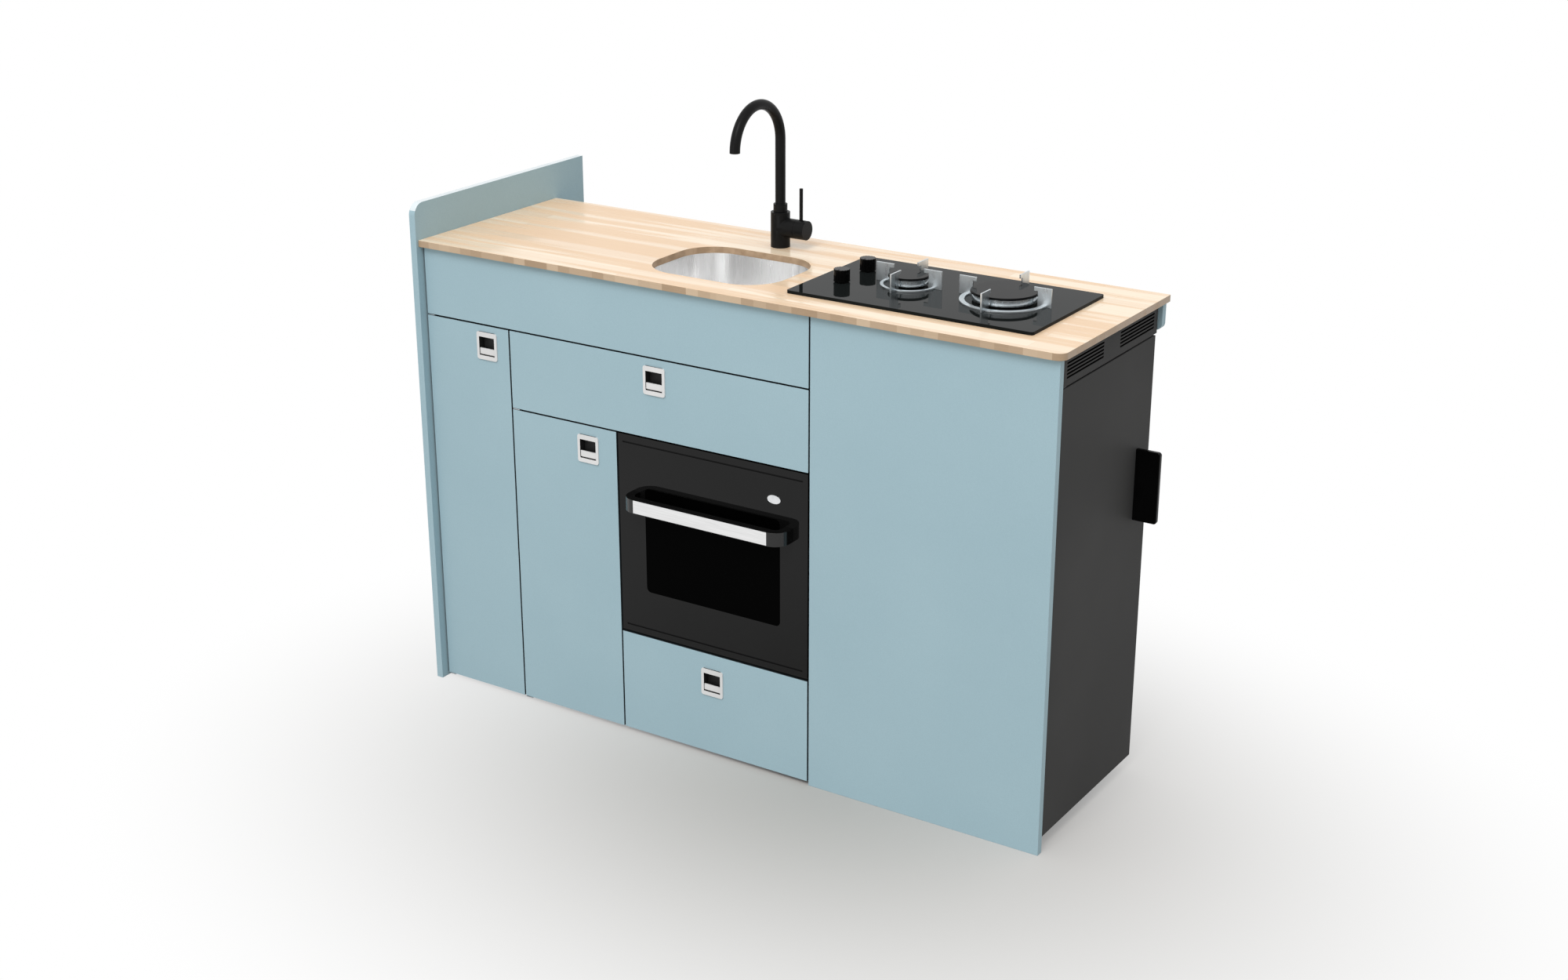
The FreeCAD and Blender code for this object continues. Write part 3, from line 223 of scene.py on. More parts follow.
# %% Blue laminate
blue_laminate, tree, point = new_finish("blue pressed laminate")
drift = add(tree, "TexNoise", {"Vector": point, "Scale": per(240), "Detail": 3.0})
tone = blend(tree, drift["Fac"], "9DB8C2", "A7C1CA")
pebble = add(tree, "TexNoise", {"Vector": point, "Scale": per(2.2), "Detail": 2.0})
speck = add(tree, "MapRange", {"Value": pebble["Fac"], "From Min": 0.3, "From Max": 0.7, "To Max": 0.22})
shade = blend(tree, speck[0], tone, "8CA6B1")
rough = add(tree, "MapRange", {"Value": pebble["Fac"], "To Min": 0.36, "To Max": 0.52})
relief = add(tree, "Bump", {"Height": pebble["Fac"], "Strength": 0.25, "Distance": 0.0002})
cover(tree, {
    "Base Color": shade, "Roughness": rough[0], "IOR": 1.5, "Specular IOR Level": 0.15, "Normal": relief[0],
})

# %% [markdown]
# ## Laminated oak
# The worktop is glued up from pale oak staves that run along it. Each stave has its own tone, long soft
# streaks and fine dark pores. A brick pattern without mortar gives the staves, and two noises stretched along
# the length give streaks and pores. The cut edges show short blocks that differ in tone, and they are painted
# browner than the oiled face as shade, so the surface's own direction picks a second brick pattern there.

# %% Laminated oak
laminated_oak, tree, point = new_finish("laminated oak, oiled")
STAVE_LENGTH = 0.62
STAVE_WIDTH = 0.034
staves = add(
    tree, "TexBrick",
    {"Vector": point, "Color1": linear("FDE9CD"), "Color2": linear("F2D4B2"), "Mortar": linear("E6C6A1"),
     "Scale": 1.0, "Mortar Size": 0.0004, "Mortar Smooth": 0.6, "Bias": -0.15,
     "Brick Width": STAVE_LENGTH, "Row Height": STAVE_WIDTH},
    offset=0.37, squash_frequency=2,
)
long_way = add(tree, "Mapping", {"Vector": point, "Scale": (0.045, 1.0, 1.0)})
streak = add(tree, "TexNoise", {"Vector": long_way[0], "Scale": per(26), "Detail": 5.0, "Distortion": 0.4})
streak = add(tree, "MapRange", {"Value": streak["Fac"], "From Min": 0.45, "From Max": 0.56, "To Max": 0.85})
tone = blend(tree, streak[0], staves["Color"], "EDCBA6")
fine_way = add(tree, "Mapping", {"Vector": point, "Scale": (0.02, 1.0, 1.0)})
pore = add(tree, "TexNoise", {"Vector": fine_way[0], "Scale": per(2.4), "Detail": 3.0})
pore_share = add(tree, "MapRange", {"Value": pore["Fac"], "From Min": 0.58, "From Max": 0.75, "To Max": 0.35})
grain = blend(tree, pore_share[0], tone, "D9AE82")
# Faces that don't face up get the edge blocks: their differing tones are real, and their brown darkness is
# painted shade.
facing = add(tree, "SeparateXYZ", {0: add(tree, "NewGeometry")["Normal"]})
edge = add(
    tree, "MapRange",
    {"Value": facing["Z"], "From Min": 0.35, "From Max": 0.8, "To Min": 1.0, "To Max": 0.0},
)
block_way = add(tree, "Mapping", {"Vector": point, "Rotation": (0, 0, math.radians(-45)), "Scale": (1, 0, 0)})
blocks = add(
    tree, "TexBrick",
    {"Vector": block_way[0], "Color1": linear("CBB397"), "Color2": linear("A58B6F"), "Scale": 1.0,
     "Mortar Size": 0.0, "Brick Width": 0.019, "Row Height": 1.0},
)
face = blend(tree, edge[0], grain, blocks["Color"])
rough = add(tree, "MapRange", {"Value": streak[0], "To Min": 0.12, "To Max": 0.42})
relief = add(tree, "Bump", {"Height": pore["Fac"], "Strength": 0.2, "Distance": 0.0003})
cover(tree, {"Base Color": face, "Roughness": rough[0], "IOR": 1.5, "Normal": relief[0]})

# %% [markdown]
# ## Birch plywood
# Inside, the boards are bare birch plywood: a pale face with a faint long figure, and
# edges that show the plies as thin light and dark lines about 1.4 mm thick. The lines lie
# across the board's thickness, so there is one finish for each way a board can lie.

# %% Birch plywood
PLY = 1.4


def birch_plywood(name, thickness_axis, figure_scale):
    """Plywood whose plies are stacked along one axis and whose figure is stretched."""
    material, tree, point = new_finish(name)
    stretched = add(tree, "Mapping", {"Vector": point, "Scale": figure_scale})
    figure = add(
        tree, "TexNoise", {"Vector": stretched[0], "Scale": per(14), "Detail": 5.0, "Distortion": 0.6}
    )
    figure = add(tree, "MapRange", {"Value": figure["Fac"], "From Min": 0.3, "From Max": 0.7})
    face = blend(tree, figure[0], "E9D2AC", "D9BC91")
    apart = add(tree, "SeparateXYZ", {0: point})
    plies = add(tree, "Math", {0: apart[thickness_axis], 1: math.pi * per(PLY)}, operation="MULTIPLY")
    plies = add(tree, "Math", {0: plies[0]}, operation="SINE")
    line = add(tree, "MapRange", {"Value": plies[0], "From Min": -0.3, "From Max": 0.3})
    ply = blend(tree, line[0], "E2C79D", "A97F52")
    facing = add(tree, "SeparateXYZ", {0: add(tree, "NewGeometry")["Normal"]})
    flat = add(tree, "Math", {0: facing[thickness_axis]}, operation="ABSOLUTE")
    edge = add(
        tree, "MapRange", {"Value": flat[0], "From Min": 0.4, "From Max": 0.6, "To Min": 1.0, "To Max": 0.0}
    )
    both = blend(tree, edge[0], face, ply)
    rough = add(tree, "MapRange", {"Value": figure[0], "To Min": 0.5, "To Max": 0.62})
    relief = add(tree, "Bump", {"Height": figure[0], "Strength": 0.15, "Distance": 0.0002})
    cover(tree, {"Base Color": both, "Roughness": rough[0], "IOR": 1.5, "Normal": relief[0]})
    return material


ply_lying = birch_plywood("birch plywood, lying", "Z", (0.08, 1.0, 1.0))
ply_across = birch_plywood("birch plywood, across", "X", (1.0, 1.0, 0.08))
ply_along = birch_plywood("birch plywood, along", "Y", (1.0, 1.0, 0.08))

# %% [markdown]
# ## Metals
# Each metal keeps its own way of being made. The sink is brushed stainless steel with fine
# lines, the runners are zinc plate with a faint cloud, the burner crowns are cast aluminium
# with a grainy skin, and the pan supports are bright rolled steel. They all reflect the
# white studio, so their colour is set by the tint and the spread of their roughness.

# %% Metals
def metal(name, light, dark, roughness, feature, stretch=(1, 1, 1), depth=0.0):
    """A bare metal: its two tones, its roughness from smooth to rough, and its marks."""
    material, tree, point = new_finish(name)
    stretched = add(tree, "Mapping", {"Vector": point, "Scale": stretch})
    marks = add(tree, "TexNoise", {"Vector": stretched[0], "Scale": per(feature), "Detail": 4.0})
    marks = add(tree, "MapRange", {"Value": marks["Fac"], "From Min": 0.3, "From Max": 0.7})
    tone = blend(tree, marks[0], light, dark)
    rough = add(tree, "MapRange", {"Value": marks[0], "To Min": roughness[0], "To Max": roughness[1]})
    relief = add(tree, "Bump", {"Height": marks[0], "Strength": 0.3, "Distance": depth})
    cover(tree, {"Base Color": tone, "Metallic": 1.0, "Roughness": rough[0], "Normal": relief[0]})
    return material


brushed_steel = metal("brushed stainless steel", "FDFDFD", "F5F5F5", (0.25, 0.33), 2.2, (1, 1, 0.03), 0.00001)
zinc_plate = metal("zinc plate", "C4C8CB", "A9AEB2", (0.32, 0.48), 7, (1, 1, 1), 0.00003)
cast_aluminium = metal("cast aluminium", "DADFE2", "CED4D7", (0.16, 0.26), 1.6, (1, 1, 1), 0.00003)
bright_steel = metal("bright rolled steel", "D9DEE1", "CFD6D9", (0.26, 0.34), 8, (1, 1, 0.1), 0.00001)
polished_aluminium = metal("polished aluminium", "ECECEC", "E0E0E0", (0.16, 0.26), 1.5, (0.03, 1, 1), 0.00003)
chrome = metal("chrome plate", "E2E3E4", "D4D6D8", (0.05, 0.12), 9, (1, 1, 1), 0.00001)
brass = metal("machined brass", "CDA75C", "B38C45", (0.25, 0.4), 1.2, (1, 1, 0.2), 0.00004)
rolled_aluminium = metal("rolled aluminium", "B4B7BA", "9DA0A4", (0.35, 0.5), 3, (0.05, 1, 1), 0.00004)

# %% [markdown]
# ## Painted, moulded and enamelled parts
# These are all one kind of surface: a colour under a clear skin with a fine relief. What
# differs is the tone, how glossy it is and how coarse the relief is. Powder coat has an
# orange-peel skin of about 1.5 mm, a moulded part a finer spark texture, and enamel a
# smooth skin with faint specks.

# %% Painted, moulded and enamelled parts
def skin(name, light, dark, roughness, feature, depth, specular=0.5, cloud=120):
    """A coloured skin: two tones in a soft cloud, and a fine relief that also varies the gloss."""
    material, tree, point = new_finish(name)
    drift = add(tree, "TexNoise", {"Vector": point, "Scale": per(cloud), "Detail": 3.0})
    drift = add(tree, "MapRange", {"Value": drift["Fac"], "From Min": 0.35, "From Max": 0.65})
    tone = blend(tree, drift[0], light, dark)
    peel = add(tree, "TexNoise", {"Vector": point, "Scale": per(feature), "Detail": 2.0})
    rough = add(tree, "MapRange", {"Value": peel["Fac"], "To Min": roughness[0], "To Max": roughness[1]})
    relief = add(tree, "Bump", {"Height": peel["Fac"], "Strength": 0.3, "Distance": depth})
    cover(tree, {
        "Base Color": tone, "Roughness": rough[0], "IOR": 1.5, "Specular IOR Level": specular,
        "Normal": relief[0],
    })
    return material


silver_paint = skin("silver painted zinc casting", "DFDFDF", "D6D6D6", (0.34, 0.46), 1.4, 0.0001)
painted_top_highlight = skin("laminate edge, painted top highlight", "E4ECEF", "DAE4E8", (0.18, 0.3), 1.6, 0.00005, 0.5, 60)
painted_shade_oak_edge = skin("oak cut edge, painted shade", "BCA083", "A4896C", (0.45, 0.6), 1.2, 0.0001, 0.4, 18)
black_powder = skin("black powder coat", "1A1A1A", "151515", (0.26, 0.4), 1.5, 0.00008, 0.08)
black_abs = skin("black moulded ABS", "050505", "090909", (0.1, 0.2), 3.0, 0.00002, 0.1)
gloss_black = skin("gloss black moulding", "040404", "070707", (0.06, 0.12), 3.0, 0.00002, 0.5)
latch_pocket_shade = skin("black latch pocket, painted shade", "1B1B1B", "242424", (0.5, 0.65), 1.6, 0.0001, 0.3)
hob_glass = skin("black ceramic glass", "161919", "1A1D1D", (0.02, 0.04), 40, 0.000005, 0.035, 300)
oven_glass = skin("black oven glass", "020202", "030303", (0.04, 0.09), 60, 0.000005, 0.012, 300)
oven_enamel = skin("black glazed enamel", "0C0C0C", "101010", (0.03, 0.06), 60, 0.000005, 0.22, 300)
cap_enamel = skin("black glazed cap enamel", "0C0D0E", "111213", (0.04, 0.08), 30, 0.000005, 0.035)
grey_enamel = skin("grey speckled enamel", "6D7073", "4C4F52", (0.22, 0.36), 4.0, 0.0001, 0.5, 5)
tray_paint = skin("grey painted tray", "6A6C6E", "5E6062", (0.4, 0.55), 1.6, 0.0001)
charcoal_sheet = skin("charcoal textured sheet", "454545", "3F3F3F", (0.5, 0.62), 1.4, 0.00008, 0.05, 380)
louvre_shade_paint = skin("louvre throats, painted shade", "0C0C0C", "090909", (0.4, 0.55), 1.2, 0.0001, 0.06)
white_liner = skin("white fridge liner", "EDEDEB", "E4E4E2", (0.3, 0.4), 2.0, 0.00005)
seam_shade_band = skin("graphite band, painted seam shade", "33393C", "2C3235", (0.45, 0.6), 1.2, 0.00005, 0.2)
soft_rubber = skin("grey door seal", "3A3A3B", "303031", (0.55, 0.7), 2.0, 0.0001, 0.3)

# %% [markdown]
# ## Clear glass
# The fridge shelves are clear toughened glass with a faint green tint. Light has to pass
# through, so the shader's transmission is set, and a fine cloud varies how clean it is.

# %% Clear glass
clear_glass, tree, point = new_finish("clear toughened glass")
wipe = add(tree, "TexNoise", {"Vector": point, "Scale": per(60), "Detail": 3.0})
rough = add(tree, "MapRange", {"Value": wipe["Fac"], "To Min": 0.0, "To Max": 0.08})
cover(tree, {
    "Base Color": linear("E6F2EE"), "Roughness": rough[0], "IOR": 1.52, "Transmission Weight": 1.0,
})

# %% [markdown]
# ## Rounded edges
# No real edge is perfectly sharp: a laminate edge is broken by a file, a casting has a
# radius. The solid nodes have sharp edges and are made of loose triangles. Each visible
# one is copied, its triangles are merged and its flat ones dissolved, and a bevel rounds
# the edges. The copy then stands for the node and moves with the node's body.

# %% Rounded edges
def pick(piece):
    """Make one object the only selected and active one."""
    bpy.ops.object.select_all(action="DESELECT")
    piece.select_set(True)
    bpy.context.view_layer.objects.active = piece


def round_over(piece, width, segments=2):
    """Round the sharp edges of a piece to a width in metres."""
    bevel = piece.modifiers.new("round over", "BEVEL")
    bevel.width = width
    bevel.segments = segments
    bevel.limit_method = "ANGLE"
    bevel.angle_limit = math.radians(42)
    pick(piece)
    bpy.ops.object.modifier_apply(modifier=bevel.name)


def set_down(piece, name, finish, body, slot, *replaced):
    """Finish a piece: its place goes into its mesh, and it rides on its body."""
    pick(piece)
    bpy.ops.object.transform_apply(location=True, rotation=True, scale=True)
    bpy.ops.object.shade_smooth_by_angle(angle=math.radians(38))
    flatter = piece.modifiers.new("flat faces stay flat", "WEIGHTED_NORMAL")
    flatter.weight = 100
    flatter.keep_sharp = True
    bpy.ops.object.modifier_apply(modifier=flatter.name)
    piece.name = name
    piece.data.name = name
    piece.data.materials.clear()
    piece.data.materials.append(finish)
    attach(piece, body)
    if replaced:
        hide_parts(*replaced)
    print(name, len(piece.data.polygons), "faces")
    return piece


def dress(node, finish, edge, segments=2):
    """A copy of a solid node with rounded edges, or with its own where edge is 0, in its real finish."""
    pick(nodes[node])
    bpy.ops.object.duplicate()
    piece = bpy.context.active_object
    piece.parent = None
    del piece["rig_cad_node"]
    bpy.ops.mesh.customdata_custom_splitnormals_clear()
    bpy.ops.object.mode_set(mode="EDIT")
    bpy.ops.mesh.select_all(action="SELECT")
    bpy.ops.mesh.remove_doubles(threshold=0.00001)
    if edge:
        bpy.ops.mesh.dissolve_limited(angle_limit=math.radians(0.4))
    bpy.ops.object.mode_set(mode="OBJECT")
    if edge:
        round_over(piece, edge, segments)
    return set_down(piece, node + "_dressed", finish, body_of[node], slot_of[node], node)


def select_faces(piece, test):
    """In edit mode, select only the faces whose centre and normal pass a test."""
    pick(piece)
    bpy.ops.object.mode_set(mode="EDIT")
    bpy.ops.mesh.select_mode(type="FACE")
    bpy.ops.mesh.select_all(action="DESELECT")
    bpy.ops.object.mode_set(mode="OBJECT")
    for face in piece.data.polygons:
        face.select = test(face.center, face.normal)
    bpy.ops.object.mode_set(mode="EDIT")


def paint_faces(piece, finish, test):
    """Give some of a piece's faces a second finish."""
    piece.data.materials.append(finish)
    piece.active_material_index = len(piece.data.materials) - 1
    select_faces(piece, test)
    bpy.ops.object.material_slot_assign()
    bpy.ops.object.mode_set(mode="OBJECT")


def keep(node, finish):
    """A solid node whose shape is right as it is: only its finish changes."""
    nodes[node].data.materials.clear()
    nodes[node].data.materials.append(finish)


# %% [markdown]
# ## Blue boards and worktop
# The boards' edges are broken by under a millimetre, so the seams between the fronts stay thin. The edges in
# a seam are painted with a graphite band as shade, which keeps the seams dark. The top of the end panel is
# painted pale as a highlight from the light above. The worktop's edge is a little softer, as if sanded by
# hand, and the walls of its cut-outs are painted darker as shade.

# %% Blue boards and worktop
BROKEN_EDGE = 0.0007
SANDED_EDGE = 0.0012
SEAM_RIM = 0.001
CUT_OUT_MARGIN = 0.03


def seam_test(node):
    """A test for the faces of a front that lie in a seam. Two outer edges lie in none."""
    low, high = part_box(node)

    def is_seam_face(c, n):
        beside = c.x < low.x + SEAM_RIM or (c.x > high.x - SEAM_RIM and node != "right_front_panel")
        above = c.z > high.z - SEAM_RIM and node != "top_fascia"
        return abs(n.y) < 0.3 and (beside or above or c.z < low.z + SEAM_RIM)

    return is_seam_face


def is_cut_out_wall(c, n):
    """Whether a face is upright and well inside the worktop's outline."""
    inside_x = top_low.x + CUT_OUT_MARGIN < c.x < top_high.x - CUT_OUT_MARGIN
    inside_y = top_low.y + CUT_OUT_MARGIN < c.y < top_high.y - CUT_OUT_MARGIN
    return abs(n.z) < 0.5 and inside_x and inside_y


dress("rear_rail", blue_laminate, BROKEN_EDGE)
board = dress("left_end_panel", blue_laminate, BROKEN_EDGE)
# The upward faces of the end panel are painted pale as a highlight from the light above.
paint_faces(board, painted_top_highlight, lambda c, n: n.z > 0.4)
for node in ("top_fascia", "tall_door", "middle_door", "wide_drawer_front", "lower_drawer_front",
             "right_front_panel"):
    board = dress(node, blue_laminate, BROKEN_EDGE)
    # The faces that lie in the seams are painted graphite as shade.
    paint_faces(board, seam_shade_band, seam_test(node))
worktop = dress("worktop", laminated_oak, SANDED_EDGE, 3)
top_low, top_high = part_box("worktop")
# The walls of the cut-outs are painted darker as shade.
paint_faces(worktop, painted_shade_oak_edge, is_cut_out_wall)

# %% [markdown]
# ## Carcass boards
# The inside only shows when a door or drawer is open. Its boards keep their solid shape with a fine broken
# edge, and the edges that face the front are painted with the graphite band as shade, so they stay dark
# behind the seams.

# %% Carcass boards
CARCASS_EDGE = 0.0005
# Front edges are painted graphite as shade behind the seams.
for node in ("base_boards", "shelf_boards"):
    board = dress(node, ply_lying, CARCASS_EDGE, 1)
    paint_faces(board, seam_shade_band, lambda c, n: n.y < -0.9 and c.y < 0)
for node in ("left_partition", "oven_partition", "fridge_partition"):
    board = dress(node, ply_across, CARCASS_EDGE, 1)
    paint_faces(board, seam_shade_band, lambda c, n: n.y < -0.9)
for node in ("back_panel", "front_rail"):
    board = dress(node, ply_along, CARCASS_EDGE, 1)
    paint_faces(board, seam_shade_band, lambda c, n: n.y < -0.9 and c.y < 0)

# %% [markdown]
# ## Drawer boxes
# The drawer boxes have boards that lie in all three ways and meet edge to edge, so they stay
# sharp, and their faces get the plywood finish of the board they belong to, picked by where
# they are. The runners and hinges are plain zinc plate.

# %% Drawer boxes
DRAWER_SIDE = 0.0125
for node in ("wide_drawer_box", "lower_drawer_box"):
    box = dress(node, ply_lying, 0)
    low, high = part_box(node)
    left, right, back = low.x + DRAWER_SIDE, high.x - DRAWER_SIDE, high.y - DRAWER_SIDE
    paint_faces(box, ply_across, lambda c, n: c.x < left or c.x > right)
    paint_faces(box, ply_along, lambda c, n: c.y > back and left < c.x < right)
for node in ("drawer_rails", "wide_drawer_slides", "lower_drawer_slides", "hinge_pivots"):
    keep(node, zinc_plate)

# %% [markdown]
# ## Screws
# The back board and the rear rail are held by button-head screws with a round socket. One
# screw is modelled: a short cylinder whose rim is bevelled and whose top is inset and pushed
# in. It is then copied to each place, and the copies are joined to one piece for each board.

# %% Screws
SCREW_RADIUS = 0.0038
SCREW_HEIGHT = 0.0024
SCREW_ROUNDING = 0.0009
SOCKET_RIM = 0.0012
SOCKET_TAPER = 0.0002
SOCKET_DEPTH = 0.001


def screw_heads(name, places, tilt, body, slot):
    """A row of button-head screws. The tilt turns them from facing up to facing their side."""
    heads = []
    for place in places:
        bpy.ops.object.select_all(action="DESELECT")
        if heads:
            pick(heads[0])
            bpy.ops.object.duplicate()
            bpy.context.active_object.location = place
        else:
            bpy.ops.mesh.primitive_cylinder_add(
                vertices=12, radius=SCREW_RADIUS, depth=SCREW_HEIGHT, location=place
            )
            head = bpy.context.active_object
            round_over(head, SCREW_ROUNDING)
            select_faces(head, lambda c, n: n.z > 0.99)
            bpy.ops.mesh.inset(thickness=SOCKET_RIM)
            bpy.ops.mesh.inset(thickness=SOCKET_TAPER, depth=-SOCKET_DEPTH)
            bpy.ops.object.mode_set(mode="OBJECT")
            head.rotation_euler = tilt
        heads.append(bpy.context.active_object)
    for head in heads:
        head.select_set(True)
    bpy.context.view_layer.objects.active = heads[0]
    bpy.ops.object.join()
    return set_down(heads[0], name, zinc_plate, body, slot)


# %% Screws in the boards
FACING_BACK = (math.radians(-90), 0, 0)
STEEL_SLOT = slot_of["hinge_pivots"]
ALL_HEIGHTS = (0.06, 0.33, 0.6, 0.85)
BOARD_COLUMNS = {-0.7043: ALL_HEIGHTS, -0.501: ALL_HEIGHTS, -0.2438: ALL_HEIGHTS[:3], 0.2006: ALL_HEIGHTS}
RAIL_COLUMNS = (-0.69, -0.35, 0.0, 0.35, 0.66)
board_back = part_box("back_panel")[1].y
places = [(x, board_back, z) for x, heights in BOARD_COLUMNS.items() for z in heights]
screw_heads("back_panel_screws", places, FACING_BACK, "carcass", STEEL_SLOT)
rail_low, rail_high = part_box("rear_rail")
rail_middle = (rail_low.z + rail_high.z) / 2
places = [(x, rail_high.y, rail_middle) for x in RAIL_COLUMNS]
screw_heads("rear_rail_screws", places, FACING_BACK, "carcass", STEEL_SLOT)

# %% [markdown]
# ## Latches
# Each latch is a silver casting let into the front, with a housing behind its window and a silver paddle that
# is pulled with a finger tip. The casting and housing are one solid, and the faces inside the window are
# painted black as the shade of the deep finger pocket.

# %% Latches
WINDOW_WIDTH = 0.038
WINDOW_SLACK = 0.0004
BEZEL_FACE = 0.0012
for front in ("tall_door", "middle_door", "wide_drawer", "lower_drawer"):
    latch = dress(front + "_latch", silver_paint, 0.0006)
    low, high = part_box(front + "_latch")
    middle_x = (low.x + high.x) / 2
    face_y = low.y + BEZEL_FACE
    inner = WINDOW_WIDTH / 2 + WINDOW_SLACK
    # The faces inside the window are painted black as shade of the pocket.
    paint_faces(latch, latch_pocket_shade, lambda c, n: abs(c.x - middle_x) < inner and c.y > face_y)
    dress(front + "_latch_paddle", silver_paint, 0.0004)

# %% [markdown]
# ## Sink and tap
# The bowl hangs under the worktop and is brushed stainless steel. The tap is black powder
# coat over brass, with small radii where its turned parts end.

# %% Sink and tap
dress("sink_bowl", brushed_steel, 0.0005)
dress("sink_waste", bright_steel, 0.0004)
dress("tap_body", black_powder, 0.0007)
dress("tap_spout", black_powder, 0.0005)
dress("tap_cap", black_powder, 0.0007)
dress("tap_lever", black_powder, 0.0004)
keep("tap_nut", brass)

# %% [markdown]
# ## Strainer
# The solids leave out the strainer in the sink's waste. It starts as a disc. Small cylinders
# in two rings are cut from it as drain holes, and a lifting post with a dimple is added in
# the middle.

# %% Strainer
def small_disc(radius, depth, place, vertices=48):
    """A disc or short pin to start from, standing on its place."""
    bpy.ops.object.select_all(action="DESELECT")
    middle = Vector(place) + Vector((0, 0, depth / 2))
    bpy.ops.mesh.primitive_cylinder_add(vertices=vertices, radius=radius, depth=depth, location=middle)
    disc = bpy.context.active_object
    bpy.ops.object.transform_apply(location=True)
    return disc


DISH_DEPTH = 0.005
STRAINER_RADIUS = 0.0194
STRAINER_THICKNESS = 0.0016
HOLE_RADIUS = 0.0018
HOLE_RINGS = ((6, 0.008), (12, 0.0142))
DRILL_LENGTH = 0.004
DRILL_START = 0.001
POST_RADIUS = 0.0042
POST_HEIGHT = 0.0048
waste_low, waste_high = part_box("sink_waste")
centre = (waste_low + waste_high) / 2
dish_floor = waste_high.z - DISH_DEPTH
strainer = small_disc(STRAINER_RADIUS, STRAINER_THICKNESS, (centre.x, centre.y, dish_floor))
drills = []
for count, ring in HOLE_RINGS:
    for step in range(count):
        turn = 2 * math.pi * step / count
        x, y = centre.x + ring * math.cos(turn), centre.y + ring * math.sin(turn)
        drills.append(small_disc(HOLE_RADIUS, DRILL_LENGTH, (x, y, dish_floor - DRILL_START), 16))
for drill in drills:
    drill.select_set(True)
bpy.ops.object.join()
drill = bpy.context.active_object
cut = strainer.modifiers.new("drain holes", "BOOLEAN")
cut.object = drill
pick(strainer)
bpy.ops.object.modifier_apply(modifier=cut.name)
bpy.data.objects.remove(drill)
post = small_disc(POST_RADIUS, POST_HEIGHT, (centre.x, centre.y, dish_floor), 24)
select_faces(post, lambda c, n: n.z > 0.9)
bpy.ops.mesh.inset(thickness=0.0008, depth=0.0)
bpy.ops.mesh.inset(thickness=0.0004, depth=-0.0005)
bpy.ops.object.mode_set(mode="OBJECT")
strainer.select_set(True)
bpy.context.view_layer.objects.active = strainer
bpy.ops.object.join()
set_down(strainer, "sink_strainer", bright_steel, "carcass", slot_of["sink_waste"])

# %% [markdown]
# ## Aerator
# A small chrome insert closes the mouth of the spout. It is a disc whose underside is inset
# and pushed in twice, which leaves stepped rings. It rides on the spout and swivels with it.

# %% Aerator
AERATOR_RADIUS = 0.0074
AERATOR_DEPTH = 0.005
MOUTH_HEIGHT = 1.1606
MOUTH_SETBACK = 0.01
STEPS = ((0.0012, 0), (0.0002, -0.0016), (0.0022, 0), (0.0003, -0.0006))
spout_low, spout_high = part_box("tap_spout")
tip = ((spout_low.x + spout_high.x) / 2, spout_low.y + MOUTH_SETBACK, MOUTH_HEIGHT)
aerator = small_disc(AERATOR_RADIUS, AERATOR_DEPTH, tip)
select_faces(aerator, lambda c, n: n.z < -0.9)
for width, depth in STEPS:
    bpy.ops.mesh.inset(thickness=width, depth=depth)
bpy.ops.object.mode_set(mode="OBJECT")
set_down(aerator, "tap_aerator", chrome, "tap_spout", slot_of["oven_handle_strip"])

# %% [markdown]
# ## Hob
# A sheet of black ceramic glass with a ground edge carries two burners and mirrors them.
# The knobs are moulded with ribs, the caps are glazed and the pan supports are bright
# steel.

# %% Hob
dress("hob_glass", hob_glass, 0.0008)
keep("hob_tray", tray_paint)
keep("gas_fittings", brass)
for side in ("front", "rear"):
    dress("hob_knob_" + side, black_abs, 0.0003)
    keep("hob_spindle_" + side, black_powder)
dress("burner_caps", cap_enamel, 0.0004)
dress("pan_supports", bright_steel, 0.0003)

# %% [markdown]
# ## Burner crowns
# The solid crowns are plain, so they are made again: a cylinder stands on a foot that is extruded from its
# inset underside, and every other side face is pushed in for a flame slot. The foot is painted black as the
# shade under the crown.

# %% Burner crowns
GLASS_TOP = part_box("hob_glass")[1].z
CROWN_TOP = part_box("burner_crowns")[1].z
CROWN_SIDES = 72
FOOT_TOP = GLASS_TOP + 0.004
FOOT_INSET = 0.003
SLOT_BAND = 0.0065
SLOT_MARGIN = 0.033
SLOT_TAPER = 0.0001
SLOT_DEPTH = 0.0018


def burner_crown(centre, radius):
    """A cast crown on a narrower foot, with a slot for the flame in every other side face."""
    bpy.ops.object.select_all(action="DESELECT")
    middle = (*centre, (CROWN_TOP + FOOT_TOP) / 2)
    bpy.ops.mesh.primitive_cylinder_add(
        vertices=CROWN_SIDES, radius=radius, depth=CROWN_TOP - FOOT_TOP, location=middle
    )
    crown = bpy.context.active_object
    bpy.ops.object.transform_apply(location=True)
    select_faces(crown, lambda c, n: True)
    bpy.ops.mesh.bisect(plane_co=(0, 0, CROWN_TOP - SLOT_BAND), plane_no=(0, 0, 1))
    bpy.ops.object.mode_set(mode="OBJECT")
    select_faces(crown, lambda c, n: n.z < -0.9)
    bpy.ops.mesh.inset(thickness=FOOT_INSET)
    bpy.ops.mesh.extrude_region_move(TRANSFORM_OT_translate={"value": (0, 0, GLASS_TOP - FOOT_TOP)})
    bpy.ops.object.mode_set(mode="OBJECT")

    def is_slot_face(c, n):
        turn = math.atan2(c.y - centre[1], c.x - centre[0]) * (CROWN_SIDES / 2) / math.pi
        return abs(n.z) < 0.1 and c.z > CROWN_TOP - SLOT_BAND and math.floor(turn) % 2 == 0

    select_faces(crown, is_slot_face)
    bpy.ops.mesh.inset(thickness=SLOT_MARGIN * radius, depth=0, use_individual=True)
    bpy.ops.mesh.inset(thickness=SLOT_TAPER, depth=-SLOT_DEPTH, use_individual=True)
    bpy.ops.object.mode_set(mode="OBJECT")
    return crown


